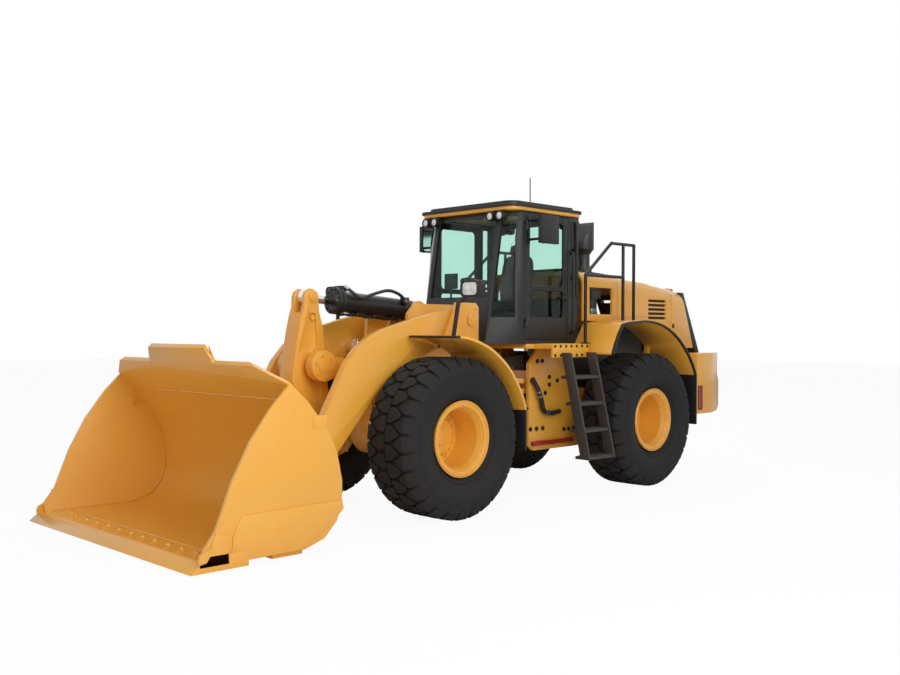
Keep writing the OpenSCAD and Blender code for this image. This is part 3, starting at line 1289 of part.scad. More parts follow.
tyre_front_left();
tyre_front_right();
tyre_rear_left();
tyre_rear_right();
rim_front_left();
rim_front_right();
rim_rear_left();
rim_rear_right();
front_frame();
front_axle();
front_fenders();
front_flaps();
headlamps();
lift_arm_left();
lift_arm_right();
arm_cross_tube();
lever_pin();
lever();
link_pin();
tilt_link();
tilt_pin();
tilt_barrel();
tilt_rod();
lift_barrels();
lift_rods();
bucket_pins();
bucket();
cutting_edge();
rear_frame();
rear_axle();
hitch_pins();
powertrain();
counterweight();
rear_grille();
platform();
ladders();
handrails();
rear_fenders();
rear_flaps();
fuel_filter();
lock_bar();
cab_frame();
cab_glass();
cab_roof();
roof_band();
roof_lamps();
seat();
console();
door_left();
door_right();
mirror_left();
mirror_right();
hood();
hood_deck();
exhaust_stack();
steer_barrel_left();
steer_barrel_right();
steer_rod_left();
steer_rod_right();
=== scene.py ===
# %% [markdown]
# # A wheel loader, dressed
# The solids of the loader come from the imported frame, in metres, with +X towards the bucket,
# +Y to the driver's left and +Z up. This lesson gives them paint, rubber and glass, and adds the
# pieces that are too fine for the solids: tread, bolts, hoses, seals and lamps.

# %% Load the frame
import json
import math

import bmesh
import bpy
from mathutils import Matrix, Vector

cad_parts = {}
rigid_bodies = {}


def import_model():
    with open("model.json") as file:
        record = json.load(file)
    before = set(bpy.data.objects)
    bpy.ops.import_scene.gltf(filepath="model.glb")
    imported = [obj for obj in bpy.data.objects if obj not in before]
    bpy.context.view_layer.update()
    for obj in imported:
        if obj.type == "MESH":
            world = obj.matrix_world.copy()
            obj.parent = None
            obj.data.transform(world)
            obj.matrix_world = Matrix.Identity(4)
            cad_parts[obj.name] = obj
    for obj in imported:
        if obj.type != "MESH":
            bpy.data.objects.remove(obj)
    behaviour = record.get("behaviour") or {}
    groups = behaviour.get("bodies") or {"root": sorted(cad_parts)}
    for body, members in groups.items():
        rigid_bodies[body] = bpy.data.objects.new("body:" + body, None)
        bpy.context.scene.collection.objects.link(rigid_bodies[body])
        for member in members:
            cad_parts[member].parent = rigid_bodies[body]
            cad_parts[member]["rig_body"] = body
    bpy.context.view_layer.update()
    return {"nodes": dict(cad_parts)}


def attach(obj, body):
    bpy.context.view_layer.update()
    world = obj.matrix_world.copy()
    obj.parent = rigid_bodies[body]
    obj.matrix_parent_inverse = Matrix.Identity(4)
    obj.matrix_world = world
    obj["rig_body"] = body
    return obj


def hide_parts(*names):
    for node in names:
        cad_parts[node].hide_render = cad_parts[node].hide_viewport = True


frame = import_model()
NODES = frame["nodes"]
scene = bpy.context.scene
scene.view_settings.view_transform = "Standard"
print("loaded", len(NODES), "nodes")

# %% [markdown]
# ## The camera
# A photograph of a long machine from one front corner shows strong perspective, so the camera must
# stand where the photographer stood. Its place and lens were found by matching wheel centres, bucket
# corners and roof corners. The picture is level, with a roll of a quarter of a degree.

# %% Camera
EYE = Vector((8.8597, 8.8171, 1.9959))
YAW, PITCH, ROLL = math.radians(225.42), math.radians(-0.27), math.radians(0.26)
LENS_MM = 39.88
lens = bpy.data.cameras.new("view")
lens.lens, lens.sensor_width, lens.clip_end = LENS_MM, 36.0, 200.0
camera = bpy.data.objects.new("view", lens)
scene.collection.objects.link(camera)
aim = Vector((math.cos(YAW) * math.cos(PITCH), math.sin(YAW) * math.cos(PITCH), math.sin(PITCH)))
turn = aim.to_track_quat("-Z", "Y").to_matrix() @ Matrix.Rotation(ROLL, 3, "Z")
camera.matrix_world = Matrix.Translation(EYE) @ turn.to_4x4()
scene.camera = camera
print("camera", tuple(round(v, 2) for v in EYE))

# %% [markdown]
# ## Studio light
# The picture has a plain white ground and soft light from the front and above, with the left flank
# of the machine brighter than the front faces. Small lamps would throw hard shadows, so four large
# panels are used: the key on the left, a weaker one in front, one above and one behind.

# %% Light panels
def panel(name, where, to, size, watts):
    """A square light panel aimed at a point."""
    data = bpy.data.lights.new(name, "AREA")
    data.size, data.energy = size, watts
    lamp = bpy.data.objects.new(name, data)
    lamp.location = where
    lamp.rotation_euler = (Vector(to) - Vector(where)).to_track_quat("-Z", "Y").to_euler()
    lamp.visible_transmission = False  # no panel shows through the cab's glass
    scene.collection.objects.link(lamp)


CENTRE = (0.0, 0.0, 1.5)
panel("key_left", (5.0, 10.0, 6.0), (2.2, 0.0, 1.2), 7.0, 620)
panel("front_soft", (14.0, 2.0, 8.0), CENTRE, 8.0, 170)
panel("top_soft", (-1.0, 0.0, 14.0), CENTRE, 10.0, 460)
panel("back_rim", (-12.0, -8.0, 8.0), CENTRE, 8.0, 320)
print("panels placed")

# %% [markdown]
# The world fills the shadows at a low level. That level alone would show as grey behind the machine, so
# a Light Path node tells rays apart: those from the camera, from gloss and through glass see white.

# %% World
world = bpy.data.worlds.new("studio")
scene.world = world
world.use_nodes = True
wn, wl = world.node_tree.nodes, world.node_tree.links
WORLD_FILL = 0.30
paths = wn.new("ShaderNodeLightPath")
seen = paths.outputs["Is Camera Ray"]
for kind in ("Is Transmission Ray", "Is Glossy Ray"):
    either = wn.new("ShaderNodeMath")
    either.operation = "MAXIMUM"
    wl.new(seen, either.inputs[0])
    wl.new(paths.outputs[kind], either.inputs[1])
    seen = either.outputs[0]
level = wn.new("ShaderNodeMapRange")
level.inputs["To Min"].default_value = WORLD_FILL
level.inputs["To Max"].default_value = 1.0
wl.new(seen, level.inputs["Value"])
back = wn["Background"]
back.inputs["Color"].default_value = (1, 1, 1, 1)
wl.new(level.outputs["Result"], back.inputs["Strength"])
print("world fill", WORLD_FILL)

# %% [markdown]
# The floor is one square face, so wide that its edge stays far from the machine.

# %% Floor
FLOOR_HALF = 60.0
bm = bmesh.new()
bmesh.ops.create_grid(bm, x_segments=1, y_segments=1, size=FLOOR_HALF)
floor_mesh = bpy.data.meshes.new("floor")
bm.to_mesh(floor_mesh)
bm.free()
floor = bpy.data.objects.new("floor", floor_mesh)
scene.collection.objects.link(floor)
print("floor laid")

# %% [markdown]
# ## Finishes
# Every finish is a small node tree on Object coordinates, so it stays put when a part moves. Paint is
# a coloured base with slow cloudy variation, a fine orange-peel bump and a clear coat. Rubber is rough
# with a dusty bloom. Glass is a clear tinted body with a low index, so what lies behind it hardly
# bends. The floor mixes in a white glow for the camera's own rays.

# %% Node helpers
DUST_COLOUR = (0.20, 0.15, 0.10, 1)
DUST_SCALE, DUST_DETAIL = 14.0, 8.0


def put(node, **values):
    """Sets a node's inputs by name, with an underscore for each space."""
    for key, value in values.items():
        node.inputs[key.replace("_", " ")].default_value = value


def add_noise(tree, where, scale, detail):
    """A noise texture on Object coordinates."""
    noise = tree.nodes.new("ShaderNodeTexNoise")
    put(noise, Scale=scale, Detail=detail)
    tree.links.new(where.outputs["Object"], noise.inputs["Vector"])
    return noise.outputs["Fac"]


def add_dust(tree, where, colour, dust, top):
    """Dirt over a colour, strongest at the ground and gone at a height."""
    nodes, links = tree.nodes, tree.links
    split = nodes.new("ShaderNodeSeparateXYZ")
    links.new(where.outputs["Object"], split.inputs["Vector"])
    fall = nodes.new("ShaderNodeMapRange")
    put(fall, From_Min=0.0, From_Max=top, To_Min=dust, To_Max=0.0)
    links.new(split.outputs["Z"], fall.inputs["Value"])
    amount = nodes.new("ShaderNodeMath")
    amount.operation = "MULTIPLY"
    links.new(fall.outputs["Result"], amount.inputs[0])
    links.new(add_noise(tree, where, DUST_SCALE, DUST_DETAIL), amount.inputs[1])
    dirt = nodes.new("ShaderNodeMixRGB")
    put(dirt, Color2=DUST_COLOUR)
    links.new(amount.outputs[0], dirt.inputs["Fac"])
    links.new(colour, dirt.inputs["Color1"])
    return dirt.outputs["Color"]


print("node helpers ready")

# %% [markdown]
# One function builds every finish, because paint, rubber, steel and glass differ only in a few numbers
# of the same Principled shader. A value that is the same all over is set on the shader's own socket.

# %% Material helper
CLOUD_DETAIL, GRAIN_DETAIL = 5.0, 3.0
COAT_ROUGHNESS = 0.12
BUMP_DEPTH = 0.002
GLASS_INDEX = 1.2


def finish(name, base, rough, *, metal=0.0, coat=0.0, vary=0.06, scale=3.0, bump=0.0,
           bump_scale=300.0, dust=0.0, dust_top=0.9, clear=0.0, rough_vary=0.08, spec=0.5):
    """A principled finish with noise in its colour and roughness, a fine bump and dust below."""
    mat = bpy.data.materials.new(name)
    mat.use_nodes = True
    tree = mat.node_tree
    nodes, links = tree.nodes, tree.links
    shader = nodes["Principled BSDF"]
    where = nodes.new("ShaderNodeTexCoord")
    cloud = add_noise(tree, where, scale, CLOUD_DETAIL)
    tint = nodes.new("ShaderNodeMixRGB")
    put(tint, Color1=(*[c * (1 - vary) for c in base], 1),
        Color2=(*[min(1.0, c * (1 + vary)) for c in base], 1))
    links.new(cloud, tint.inputs["Fac"])
    colour = tint.outputs["Color"]
    if dust:
        colour = add_dust(tree, where, colour, dust, dust_top)
    links.new(colour, shader.inputs["Base Color"])
    sheen = nodes.new("ShaderNodeMapRange")
    put(sheen, To_Min=rough - rough_vary, To_Max=rough + rough_vary)
    links.new(cloud, sheen.inputs["Value"])
    links.new(sheen.outputs["Result"], shader.inputs["Roughness"])
    put(shader, Metallic=metal, Specular_IOR_Level=spec)
    if coat:
        put(shader, Coat_Weight=coat, Coat_Roughness=COAT_ROUGHNESS)
    if bump:
        relief = nodes.new("ShaderNodeBump")
        put(relief, Strength=bump, Distance=BUMP_DEPTH)
        links.new(add_noise(tree, where, bump_scale, GRAIN_DETAIL), relief.inputs["Height"])
        links.new(relief.outputs["Normal"], shader.inputs["Normal"])
    if clear:
        put(shader, Transmission_Weight=clear, IOR=GLASS_INDEX)
    return mat


print("material helper ready")

# %% [markdown]
# The machine has one yellow, two near blacks, rubber, chrome, two steels, glass, lamp lenses, red and
# seat trim. Colours are linear, so they look darker as numbers than they do in the picture.

# %% Finishes
YELLOW = finish("machine_yellow", (0.84, 0.405, 0.046), 0.36, coat=0.35, vary=0.04, scale=1.4,
                bump=0.05, bump_scale=420, dust=0.16)
CHARCOAL = finish("cab_charcoal", (0.020, 0.020, 0.020), 0.45, vary=0.12, bump=0.08, bump_scale=500,
                  spec=0.35)
BLACK = finish("black_paint", (0.012, 0.012, 0.012), 0.42, vary=0.15, bump=0.06, bump_scale=350,
               spec=0.4)
RUBBER = finish("tyre_rubber", (0.017, 0.0168, 0.0175), 0.75, vary=0.16, scale=9, bump=0.22,
                bump_scale=260, dust=0.06, dust_top=2.2, spec=0.2)
HOSE = finish("hose_rubber", (0.016, 0.016, 0.016), 0.55, vary=0.1, bump=0.2, bump_scale=600)
CHROME = finish("chromed_rod", (0.80, 0.81, 0.82), 0.10, metal=1.0, vary=0.03, rough_vary=0.03)
STEEL = finish("bare_steel", (0.34, 0.33, 0.31), 0.38, metal=1.0, vary=0.12, scale=12, bump=0.1)
DARK_STEEL = finish("oiled_steel", (0.055, 0.052, 0.050), 0.46, metal=0.6, vary=0.2, scale=10,
                    bump=0.1)
GLASS = finish("tinted_glass", (0.66, 0.88, 0.80), 0.03, vary=0.02, clear=1.0, rough_vary=0.02)
LENS = finish("lamp_lens", (0.80, 0.82, 0.84), 0.12, vary=0.03, coat=0.8, rough_vary=0.04)
RED = finish("lock_red", (0.42, 0.020, 0.014), 0.38, vary=0.08, coat=0.2)
TRIM = finish("seat_trim", (0.045, 0.046, 0.048), 0.75, vary=0.15, bump=0.3, bump_scale=240)
FLOOR = finish("studio_floor", (0.93, 0.93, 0.93), 0.7, vary=0.005, rough_vary=0.02)
FLOOR_GLOW = 0.94
tree = FLOOR.node_tree
ray = tree.nodes.new("ShaderNodeLightPath")
glow = tree.nodes.new("ShaderNodeEmission")
blend = tree.nodes.new("ShaderNodeMixShader")
share = tree.nodes.new("ShaderNodeMath")
share.operation = "MULTIPLY"
share.inputs[1].default_value = FLOOR_GLOW
tree.links.new(ray.outputs["Is Camera Ray"], share.inputs[0])
tree.links.new(share.outputs[0], blend.inputs["Fac"])
tree.links.new(tree.nodes["Principled BSDF"].outputs["BSDF"], blend.inputs[1])
tree.links.new(glow.outputs["Emission"], blend.inputs[2])
tree.links.new(blend.outputs["Shader"], tree.nodes["Material Output"].inputs["Surface"])
floor.data.materials.append(FLOOR)
print("finishes made")

# %% [markdown]
# ## Shared tools
# A piece starts as a bmesh, is shaped by operators, and becomes an object whose place is in its mesh.
# Faces are smooth, and edges sharper than an angle stay crisp. Places are written in millimetres
# ahead of the steering hinge, left of the middle and above the ground.

# %% Piece helpers
CRISP = math.radians(32)
HINGE_X = 0.4265
LEFT = (0, 1, 0)


def at(x, y, z):
    """A point in metres from its place in millimetres."""
    return Vector((x / 1000 - HINGE_X, y / 1000, z / 1000))


def outline(points, y):
    """Points of a side view, set at a place across the machine."""
    return [at(x, y, z) for x, z in points]


def finish_piece(name, bm, mat, body, replaces=()):
    """Turns a bmesh into an object that rides on a body."""
    bmesh.ops.recalc_face_normals(bm, faces=bm.faces)
    for f in bm.faces:
        f.smooth = True
    for e in bm.edges:
        e.smooth = not (len(e.link_faces) == 2 and e.calc_face_angle(0) > CRISP)
    mesh = bpy.data.meshes.new(name)
    bm.to_mesh(mesh)
    bm.free()
    mesh.materials.append(mat)
    obj = bpy.data.objects.new(name, mesh)
    scene.collection.objects.link(obj)
    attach(obj, body)
    if replaces:
        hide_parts(*replaces)
    return obj


def everything(bm):
    """All the geometry of a bmesh, as its operators take it."""
    return list(bm.verts) + list(bm.edges) + list(bm.faces)


def edges_of(verts):
    """The edges that meet any of some vertices."""
    return {e for v in verts for e in v.link_edges}


def new_verts(geom):
    """The vertices among what an operator returned."""
    return [v for v in geom if isinstance(v, bmesh.types.BMVert)]


def absorb(bm, other):
    """Moves the geometry of a second bmesh into the first."""
    mesh = bpy.data.meshes.new("absorbed")
    other.to_mesh(mesh)
    other.free()
    bm.from_mesh(mesh)
    bpy.data.meshes.remove(mesh)


def both_sides(bm):
    """Adds the mirror image across the machine's middle plane."""
    bmesh.ops.mirror(bm, geom=everything(bm), merge_dist=-1.0, axis="Y")


print("piece helpers ready")

# %% [markdown]
# Boxes, bars, bolts, tubes and plates are the stock that most pieces are made from. Each is added to a
# bmesh that may hold others already.

# %% Stock shapes
def bevel_all(bm, edges, width, segments=2):
    """A plain edge round."""
    bmesh.ops.bevel(bm, geom=list(edges), offset=width, offset_type="OFFSET", segments=segments,
                    profile=0.5, affect="EDGES", clamp_overlap=True, material=-1)


def add_box(bm, low, high, round_mm=4, segments=2):
    """A box between two corners with rounded edges."""
    low, high = Vector(low), Vector(high)
    verts = bmesh.ops.create_cube(bm, size=1.0)["verts"]
    bmesh.ops.scale(bm, vec=high - low, verts=verts)
    bmesh.ops.translate(bm, vec=(low + high) / 2, verts=verts)
    if round_mm:
        bevel_all(bm, edges_of(verts), round_mm / 1000, segments)


def facing(direction):
    """A matrix that turns the Z axis to a direction."""
    return Vector(direction).to_track_quat("Z", "Y").to_matrix().to_4x4()


def add_rod(bm, p, q, r, segments=24, r2=None, round_mm=0):
    """A round bar between two points."""
    p, q = Vector(p), Vector(q)
    verts = bmesh.ops.create_cone(bm, cap_ends=True, segments=segments, radius1=r,
                                  radius2=r if r2 is None else r2, depth=(q - p).length,
                                  matrix=Matrix.Translation((p + q) / 2) @ facing(q - p))["verts"]
    if round_mm:
        rims = {e for e in edges_of(verts) if any(len(f.verts) > 4 for f in e.link_faces)}
        bevel_all(bm, rims, round_mm / 1000, 2)


BOLT_SINK = 0.002
WASHER_R, WASHER_H, HEAD_H = 1.5, 0.22, 0.9


def add_bolt(bm, at_point, out, size=0.018, washer=True):
    """A hexagon bolt head on a washer, standing on a face."""
    at_point, out = Vector(at_point), Vector(out).normalized()
    foot = at_point - out * BOLT_SINK
    if washer:
        add_rod(bm, foot, at_point + out * size * WASHER_H, size * WASHER_R, 16)
    add_rod(bm, foot, at_point + out * size * HEAD_H, size, 6)


def bridge_rings(bm, rings):
    """Joins each ring of vertices to the next by a band of faces."""
    for a, b in zip(rings, rings[1:]):
        edges = [e for ring in (a, b) for e in edges_of(ring) if all(v in ring for v in e.verts)]
        bmesh.ops.bridge_loops(bm, edges=edges)


def add_pipe(bm, points, r, segments=12, bend=0.06, steps=5):
    """A bent tube: each corner is turned into an arc, and rings along the line are bridged."""
    points = [Vector(p) for p in points]
    line = [points[0]]
    for a, b, c in zip(points, points[1:], points[2:]):
        cut = min(bend, (a - b).length / 2.1, (c - b).length / 2.1)
        start, end = b + (a - b).normalized() * cut, b + (c - b).normalized() * cut
        for k in range(steps + 1):
            t = k / steps
            line.append(start.lerp(b, t).lerp(b.lerp(end, t), t))
    line.append(points[-1])
    rings, last = [], len(line) - 1
    for i, p in enumerate(line):
        along = (line[min(i + 1, last)] - line[max(i - 1, 0)]).normalized()
        ring = bmesh.ops.create_circle(bm, segments=segments, radius=r, cap_ends=i in (0, last),
                                       matrix=Matrix.Translation(p) @ facing(along))
        rings.append(ring["verts"])
    bridge_rings(bm, rings)


def add_plate(bm, points, direction, round_mm=0):
    """A plate: an outline of points pushed along a direction."""
    face = bm.faces.new([bm.verts.new(p) for p in points])
    moved = new_verts(bmesh.ops.extrude_face_region(bm, geom=[face])["geom"])
    bmesh.ops.translate(bm, vec=direction, verts=moved)
    if round_mm:
        bevel_all(bm, edges_of(moved), round_mm / 1000)


print("stock shapes ready")

# %% [markdown]
# ## Softened edges
# Plate and castings never have knife edges: flame cutting, grinding and paint round them, and that thin
# highlight is what makes them read as steel. A copy of each solid is merged, its flat triangles are
# joined into whole faces, and its sharp edges are bevelled. The copy then stands for the solid.

# %% Softened copies
JOIN_ANGLE = math.radians(1.0)
MERGE_DISTANCE = 2e-5


def soften(node, mat, width=0.006, segments=2, sharp=35):
    """A bevelled copy of a CAD node that replaces it."""
    bm = bmesh.new()
    bm.from_mesh(NODES[node].data)
    bmesh.ops.remove_doubles(bm, verts=bm.verts, dist=MERGE_DISTANCE)
    bmesh.ops.dissolve_limit(bm, angle_limit=JOIN_ANGLE, verts=bm.verts, edges=bm.edges,
                             use_dissolve_boundaries=False)
    limit = math.radians(sharp)
    edges = [e for e in bm.edges if len(e.link_faces) == 2 and e.calc_face_angle(0) > limit]
    bevel_all(bm, edges, width, segments)
    finish_piece(node + "_soft", bm, mat, NODES[node]["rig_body"], (node,))


for node in NODES.values():
    node.data.materials.clear()
    node.data.materials.append(YELLOW)
print("painted", len(NODES), "nodes")

# %% [markdown]
# ## Tyres
# An earthmover tyre has a thick carcass and deep rubber blocks: pointed shoulder blocks on both edges
# and six-sided blocks between them. The two halves are offset by half a step, so the middle groove
# runs in a zigzag. The carcass is a profile spun about the axle. One step of the pattern is made from
# faces that are pushed out to the tread radius, and spun into a ring.

# %% Wheel helpers
AXLE_X, AXLE_Z, TRACK_HALF = 1775, 870, 1115
WHEELS = {"front_left": (AXLE_X, 1), "front_right": (AXLE_X, -1),
          "rear_left": (-AXLE_X, 1), "rear_right": (-AXLE_X, -1)}
FULL = 2 * math.pi


def spin(bm, geom, angle, steps, **options):
    """Spins geometry about the wheel's axle, which lies along Y through the origin."""
    bmesh.ops.spin(bm, geom=geom, cent=(0, 0, 0), axis=LEFT, angle=angle, steps=steps, **options)


def spin_copies(bm, count):
    """Repeats everything in even steps round the axle."""
    spin(bm, everything(bm), FULL * (count - 1) / count, count - 1, use_duplicate=True)


def add_hoop(bm, r, y, thick, segments, steps):
    """A round bead about the axle: a small circle spun through a whole turn."""
    spot = Matrix.Translation((0, y, r)) @ Matrix.Rotation(math.pi / 2, 4, "Y")
    verts = bmesh.ops.create_circle(bm, segments=segments, radius=thick, matrix=spot)["verts"]
    spin(bm, verts + list(edges_of(verts)), FULL, steps, use_merge=True)


def set_wheel(bm, x, side):
    """Turns a wheel's outer face to its side and moves it to its axle."""
    if side < 0:
        half_turn = Matrix.Rotation(math.pi, 3, "Z")
        bmesh.ops.rotate(bm, verts=bm.verts, cent=(0, 0, 0), matrix=half_turn)
    bmesh.ops.translate(bm, verts=bm.verts, vec=at(x, side * TRACK_HALF, AXLE_Z))


print("wheel helpers ready")

# %% [markdown]
# A block could be modelled once and arrayed, but its foot must follow the curved carcass. So it is drawn as
# rows across the tyre, each with a half width, and its faces are pushed out to the tread radius.

# %% Tread blocks
LUG_STEPS = 28
STEP = FULL / LUG_STEPS
CARCASS = [(238, 404), (262, 428), (298, 462), (330, 518), (346, 585), (349, 640), (346, 700),
           (342, 732), (322, 772), (300, 798), (272, 818), (238, 828), (120, 833)]
SHOULDER = [(345, 0.46), (322, 0.41), (264, 0.405), (238, 0.40), (150, 0.12)]
SHOULDER_FOOT = {345: 716, 322: 760, 264: 812, 238: 822, 150: 826}
SHOULDER_TOP = {345: 728, 322: 802, 264: 864, 238: 867, 150: 868}
CENTRE_BLOCK = [(190, 0.12), (85, 0.41), (9, 0.41)]
CENTRE_FOOT = {190: 826, 85: 826, 9: 826}
CENTRE_TOP = {190: 867, 85: 868.5, 9: 869}
FOOT_GROWTH = 1.10
LUG_ROUND = 0.006


def lug_point(t, y, r):
    """A point on the tyre from a share of the step, a place across it and a radius, in millimetres."""
    a = t * STEP
    return Vector((r * math.sin(a), y, r * math.cos(a))) / 1000


def add_lug(bm, rows, foot, top, middle):
    """A block from rows of (y, half share): a strip of faces pushed out from the carcass."""
    spots, grid = {}, []
    for y, w in rows:
        pair = []
        for t in (middle - w, middle + w):
            wide = middle + (t - middle) * FOOT_GROWTH
            v = bm.verts.new(lug_point(wide, y, foot[abs(y)]))
            spots[tuple(v.co)] = (t, y)
            pair.append(v)
        grid.append(pair)
    faces = [bm.faces.new((a[0], a[1], b[1], b[0])) for a, b in zip(grid, grid[1:])]
    pushed = bmesh.ops.extrude_face_region(bm, geom=faces)["geom"]
    for v in new_verts(pushed):
        t, y = spots[tuple(v.co)]
        v.co = lug_point(t, y, top[abs(y)])
    bmesh.ops.delete(bm, geom=faces, context="FACES_ONLY")
    crown = [f for f in pushed if isinstance(f, bmesh.types.BMFace)]
    border = {e for f in crown for e in f.edges}
    rim = [e for e in border if sum(f in crown for f in e.link_faces) == 1]
    bevel_all(bm, rim, LUG_ROUND, 1)


print("blocks ready,", LUG_STEPS, "steps")

# %% [markdown]
# The tyre is made once per wheel at the origin and then set on its axle, with its outer side outwards.

# %% Tyres
WALL_BEADS = ((0.690, 0.3455), (0.470, 0.306))


def tyre_mesh():
    """The whole tyre at the origin with its axle along Y."""
    bm = bmesh.new()
    line = CARCASS + [(-y, r) for y, r in reversed(CARCASS)]
    verts = [bm.verts.new((0, y / 1000, r / 1000)) for y, r in line]
    edges = [bm.edges.new(pair) for pair in zip(verts, verts[1:])]
    spin(bm, verts + edges, FULL, 4 * LUG_STEPS, use_merge=True)
    blocks = bmesh.new()
    for side in (1, -1):
        ahead = 0.0 if side > 0 else 0.5
        for rows, foot, top, middle in ((SHOULDER, SHOULDER_FOOT, SHOULDER_TOP, ahead),
                                        (CENTRE_BLOCK, CENTRE_FOOT, CENTRE_TOP, 0.5 - ahead)):
            add_lug(blocks, [(side * y, w) for y, w in rows], foot, top, middle)
    spin_copies(blocks, LUG_STEPS)
    absorb(bm, blocks)
    for r, y in WALL_BEADS:
        for side in (1, -1):
            add_hoop(bm, r, side * y, 0.006, 8, 96)
    return bm


for place, (x, side) in WHEELS.items():
    bm = tyre_mesh()
    set_wheel(bm, x, side)
    tyre = finish_piece("tread_" + place, bm, RUBBER, "wheel_" + place, ("tyre_" + place,))
print("tyre faces", len(tyre.data.polygons))

# %% [markdown]
# ## Wheels
# The wheels are deep dished steel with a split lock ring under the outer flange and a ring of studs
# round the hub. The dish is the CAD solid with softened edges. The rings are small circles spun about
# the axle, and one stud is spun into the whole circle of studs.

# %% Wheel rims
RIM_HOOPS = ((0.385, 0.276, 0.010), (0.352, 0.262, 0.009), (0.404, 0.276, 0.007))
STUDS, STUD_R, STUD_Y = 20, 0.268, -0.140
HUB_CAP_Y = -0.050
for place, (x, side) in WHEELS.items():
    soften("rim_" + place, YELLOW, 0.004, 2, 25)
    bm = bmesh.new()
    for r, y, thick in RIM_HOOPS:
        add_hoop(bm, r, y, thick, 10, 72)
    add_box(bm, (-0.045, 0.250, 0.356), (0.045, 0.282, 0.386), 6)
    studs = bmesh.new()
    add_bolt(studs, (0, STUD_Y, STUD_R), LEFT, 0.018)
    spin_copies(studs, STUDS)
    add_rod(studs, (0, HUB_CAP_Y - 0.022, 0), (0, HUB_CAP_Y, 0), 0.105, 32, 0.095, 4)
    add_bolt(studs, (0.05, HUB_CAP_Y, 0.05), LEFT, 0.014)
    absorb(bm, studs)
    set_wheel(bm, x, side)
    finish_piece("lock_ring_" + place, bm, YELLOW, "wheel_" + place)
print("wheels dressed")

# %% [markdown]
# ## Painted steel
# The frames, arms, linkage, bucket, counterweight and sheet metal are all painted in one yellow, the
# cab and cylinders in dark grey and black, and the steering lock bar in red. Each gets its softened
# copy in its own paint.

# %% Softened solids
YELLOW_NODES = ["front_frame", "front_axle", "front_fenders", "lift_arm_left", "lift_arm_right",
                "arm_cross_tube", "lever", "tilt_link", "bucket", "cutting_edge", "rear_frame",
                "rear_axle", "counterweight", "platform", "rear_fenders", "hood", "roof_band",
                "lever_pin", "link_pin", "tilt_pin", "bucket_pins"]
for name in YELLOW_NODES:
    soften(name, YELLOW)
for name in ("cab_frame", "cab_roof", "hood_deck", "rear_grille"):
    soften(name, CHARCOAL, 0.008)
for name in ("tilt_barrel", "lift_barrels", "steer_barrel_left", "steer_barrel_right"):
    soften(name, BLACK, 0.005)
for name in ("front_flaps", "rear_flaps"):
    soften(name, BLACK, 0.005)
for name in ("tilt_rod", "lift_rods", "steer_rod_left", "steer_rod_right"):
    soften(name, CHROME, 0.004)
for name in ("hitch_pins", "powertrain", "exhaust_stack"):
    soften(name, DARK_STEEL, 0.006)
soften("lock_bar", RED, 0.005)
NODES["cab_glass"].data.materials.clear()
NODES["cab_glass"].data.materials.append(GLASS)

# %% [markdown]
# ## Bucket
# The bucket is welded from bent plate. A bolt-on edge runs across its lip, corner adapters with two
# plugged holes protect the corners, and wear plates with a bar are welded low on both cheeks. The
# seams where the plates meet are weld beads, and skids run under the floor plate.

# %% Bucket corners
CHEEK_Y = 1605
ADAPTER = [(5046, 62), (5056, 122), (5040, 168), (4938, 212), (4893, 332), (4777, 300), (4766, 62)]
WEAR = [(4740, 66), (4724, 280), (4636, 446), (3566, 462), (3548, 380), (3700, 232), (3912, 130),
        (4010, 66)]
WEAR_BAR = [(4331, 284), (4062, 290), (4062, 302), (4331, 296)]
FOLD = [(4046, 1390), (4034, 1378), (4596, 566), (4608, 576)]
CHEEK_PLATE = [(3893, 1250), (3742, 1248), (3742, 1128), (3893, 1130)]
bm = bmesh.new()
for points, out, thick, round_mm in ((ADAPTER, -6, 0.028, 4), (WEAR, -4, 0.014, 3), (WEAR_BAR, 6, 0.008, 2),
                                     (FOLD, -4, 0.007, 2), (CHEEK_PLATE, -4, 0.012, 3)):
    add_plate(bm, outline(points, CHEEK_Y + out), (0, thick, 0), round_mm)
for x, z in ((4831, 244), (4942, 190)):
    add_rod(bm, at(x, CHEEK_Y + 16, z), at(x, CHEEK_Y + 22.5, z), 0.030, 24)
both_sides(bm)
finish_piece("bucket_corners", bm, YELLOW, "bucket")
print("bucket corners made")

# %% [markdown]
# Flat heads hold the bolt-on edge. A weld could be painted on, but a thin tube along each seam catches the
# light as a real bead does.

# %% Bucket edge, welds and ribs
EDGE_BOLT_X = 4852
EDGE_BOLT_Y = (-1355, -1118, -862, -631, -400, -165, 71, 298, 525, 762, 1000, 1240, 1470)
bm = bmesh.new()
for y in EDGE_BOLT_Y:
    add_rod(bm, at(EDGE_BOLT_X, y, 94), at(EDGE_BOLT_X, y, 116), 0.030, 20, 0.024, 3)
    add_bolt(bm, at(EDGE_BOLT_X, y, 114), (0, 0, 1), 0.017, False)
    add_box(bm, at(4905, y + 95, 98), at(4960, y + 125, 108), 3)
finish_piece("edge_bolts", bm, YELLOW, "bucket")

CHEEK_WELD = [(4900, 108), (3995, 108), (3800, 174), (3672, 296), (3610, 462), (3610, 640), (3670, 890),
              (3780, 1102), (4000, 1370)]
bm = bmesh.new()
add_pipe(bm, [at(4749, -1565, 103), at(4750, 1565, 103)], 0.006, 8)
add_pipe(bm, [at(4014, -1562, 1378), at(4014, 1562, 1378)], 0.007, 8)
for side in (-1, 1):
    add_pipe(bm, outline(CHEEK_WELD, side * 1566), 0.009, 8, 0.09)
    add_box(bm, at(3960, side * 1560 - 14, 1180), at(4040, side * 1560 + 14, 1270), 5)
finish_piece("bucket_welds", bm, YELLOW, "bucket")

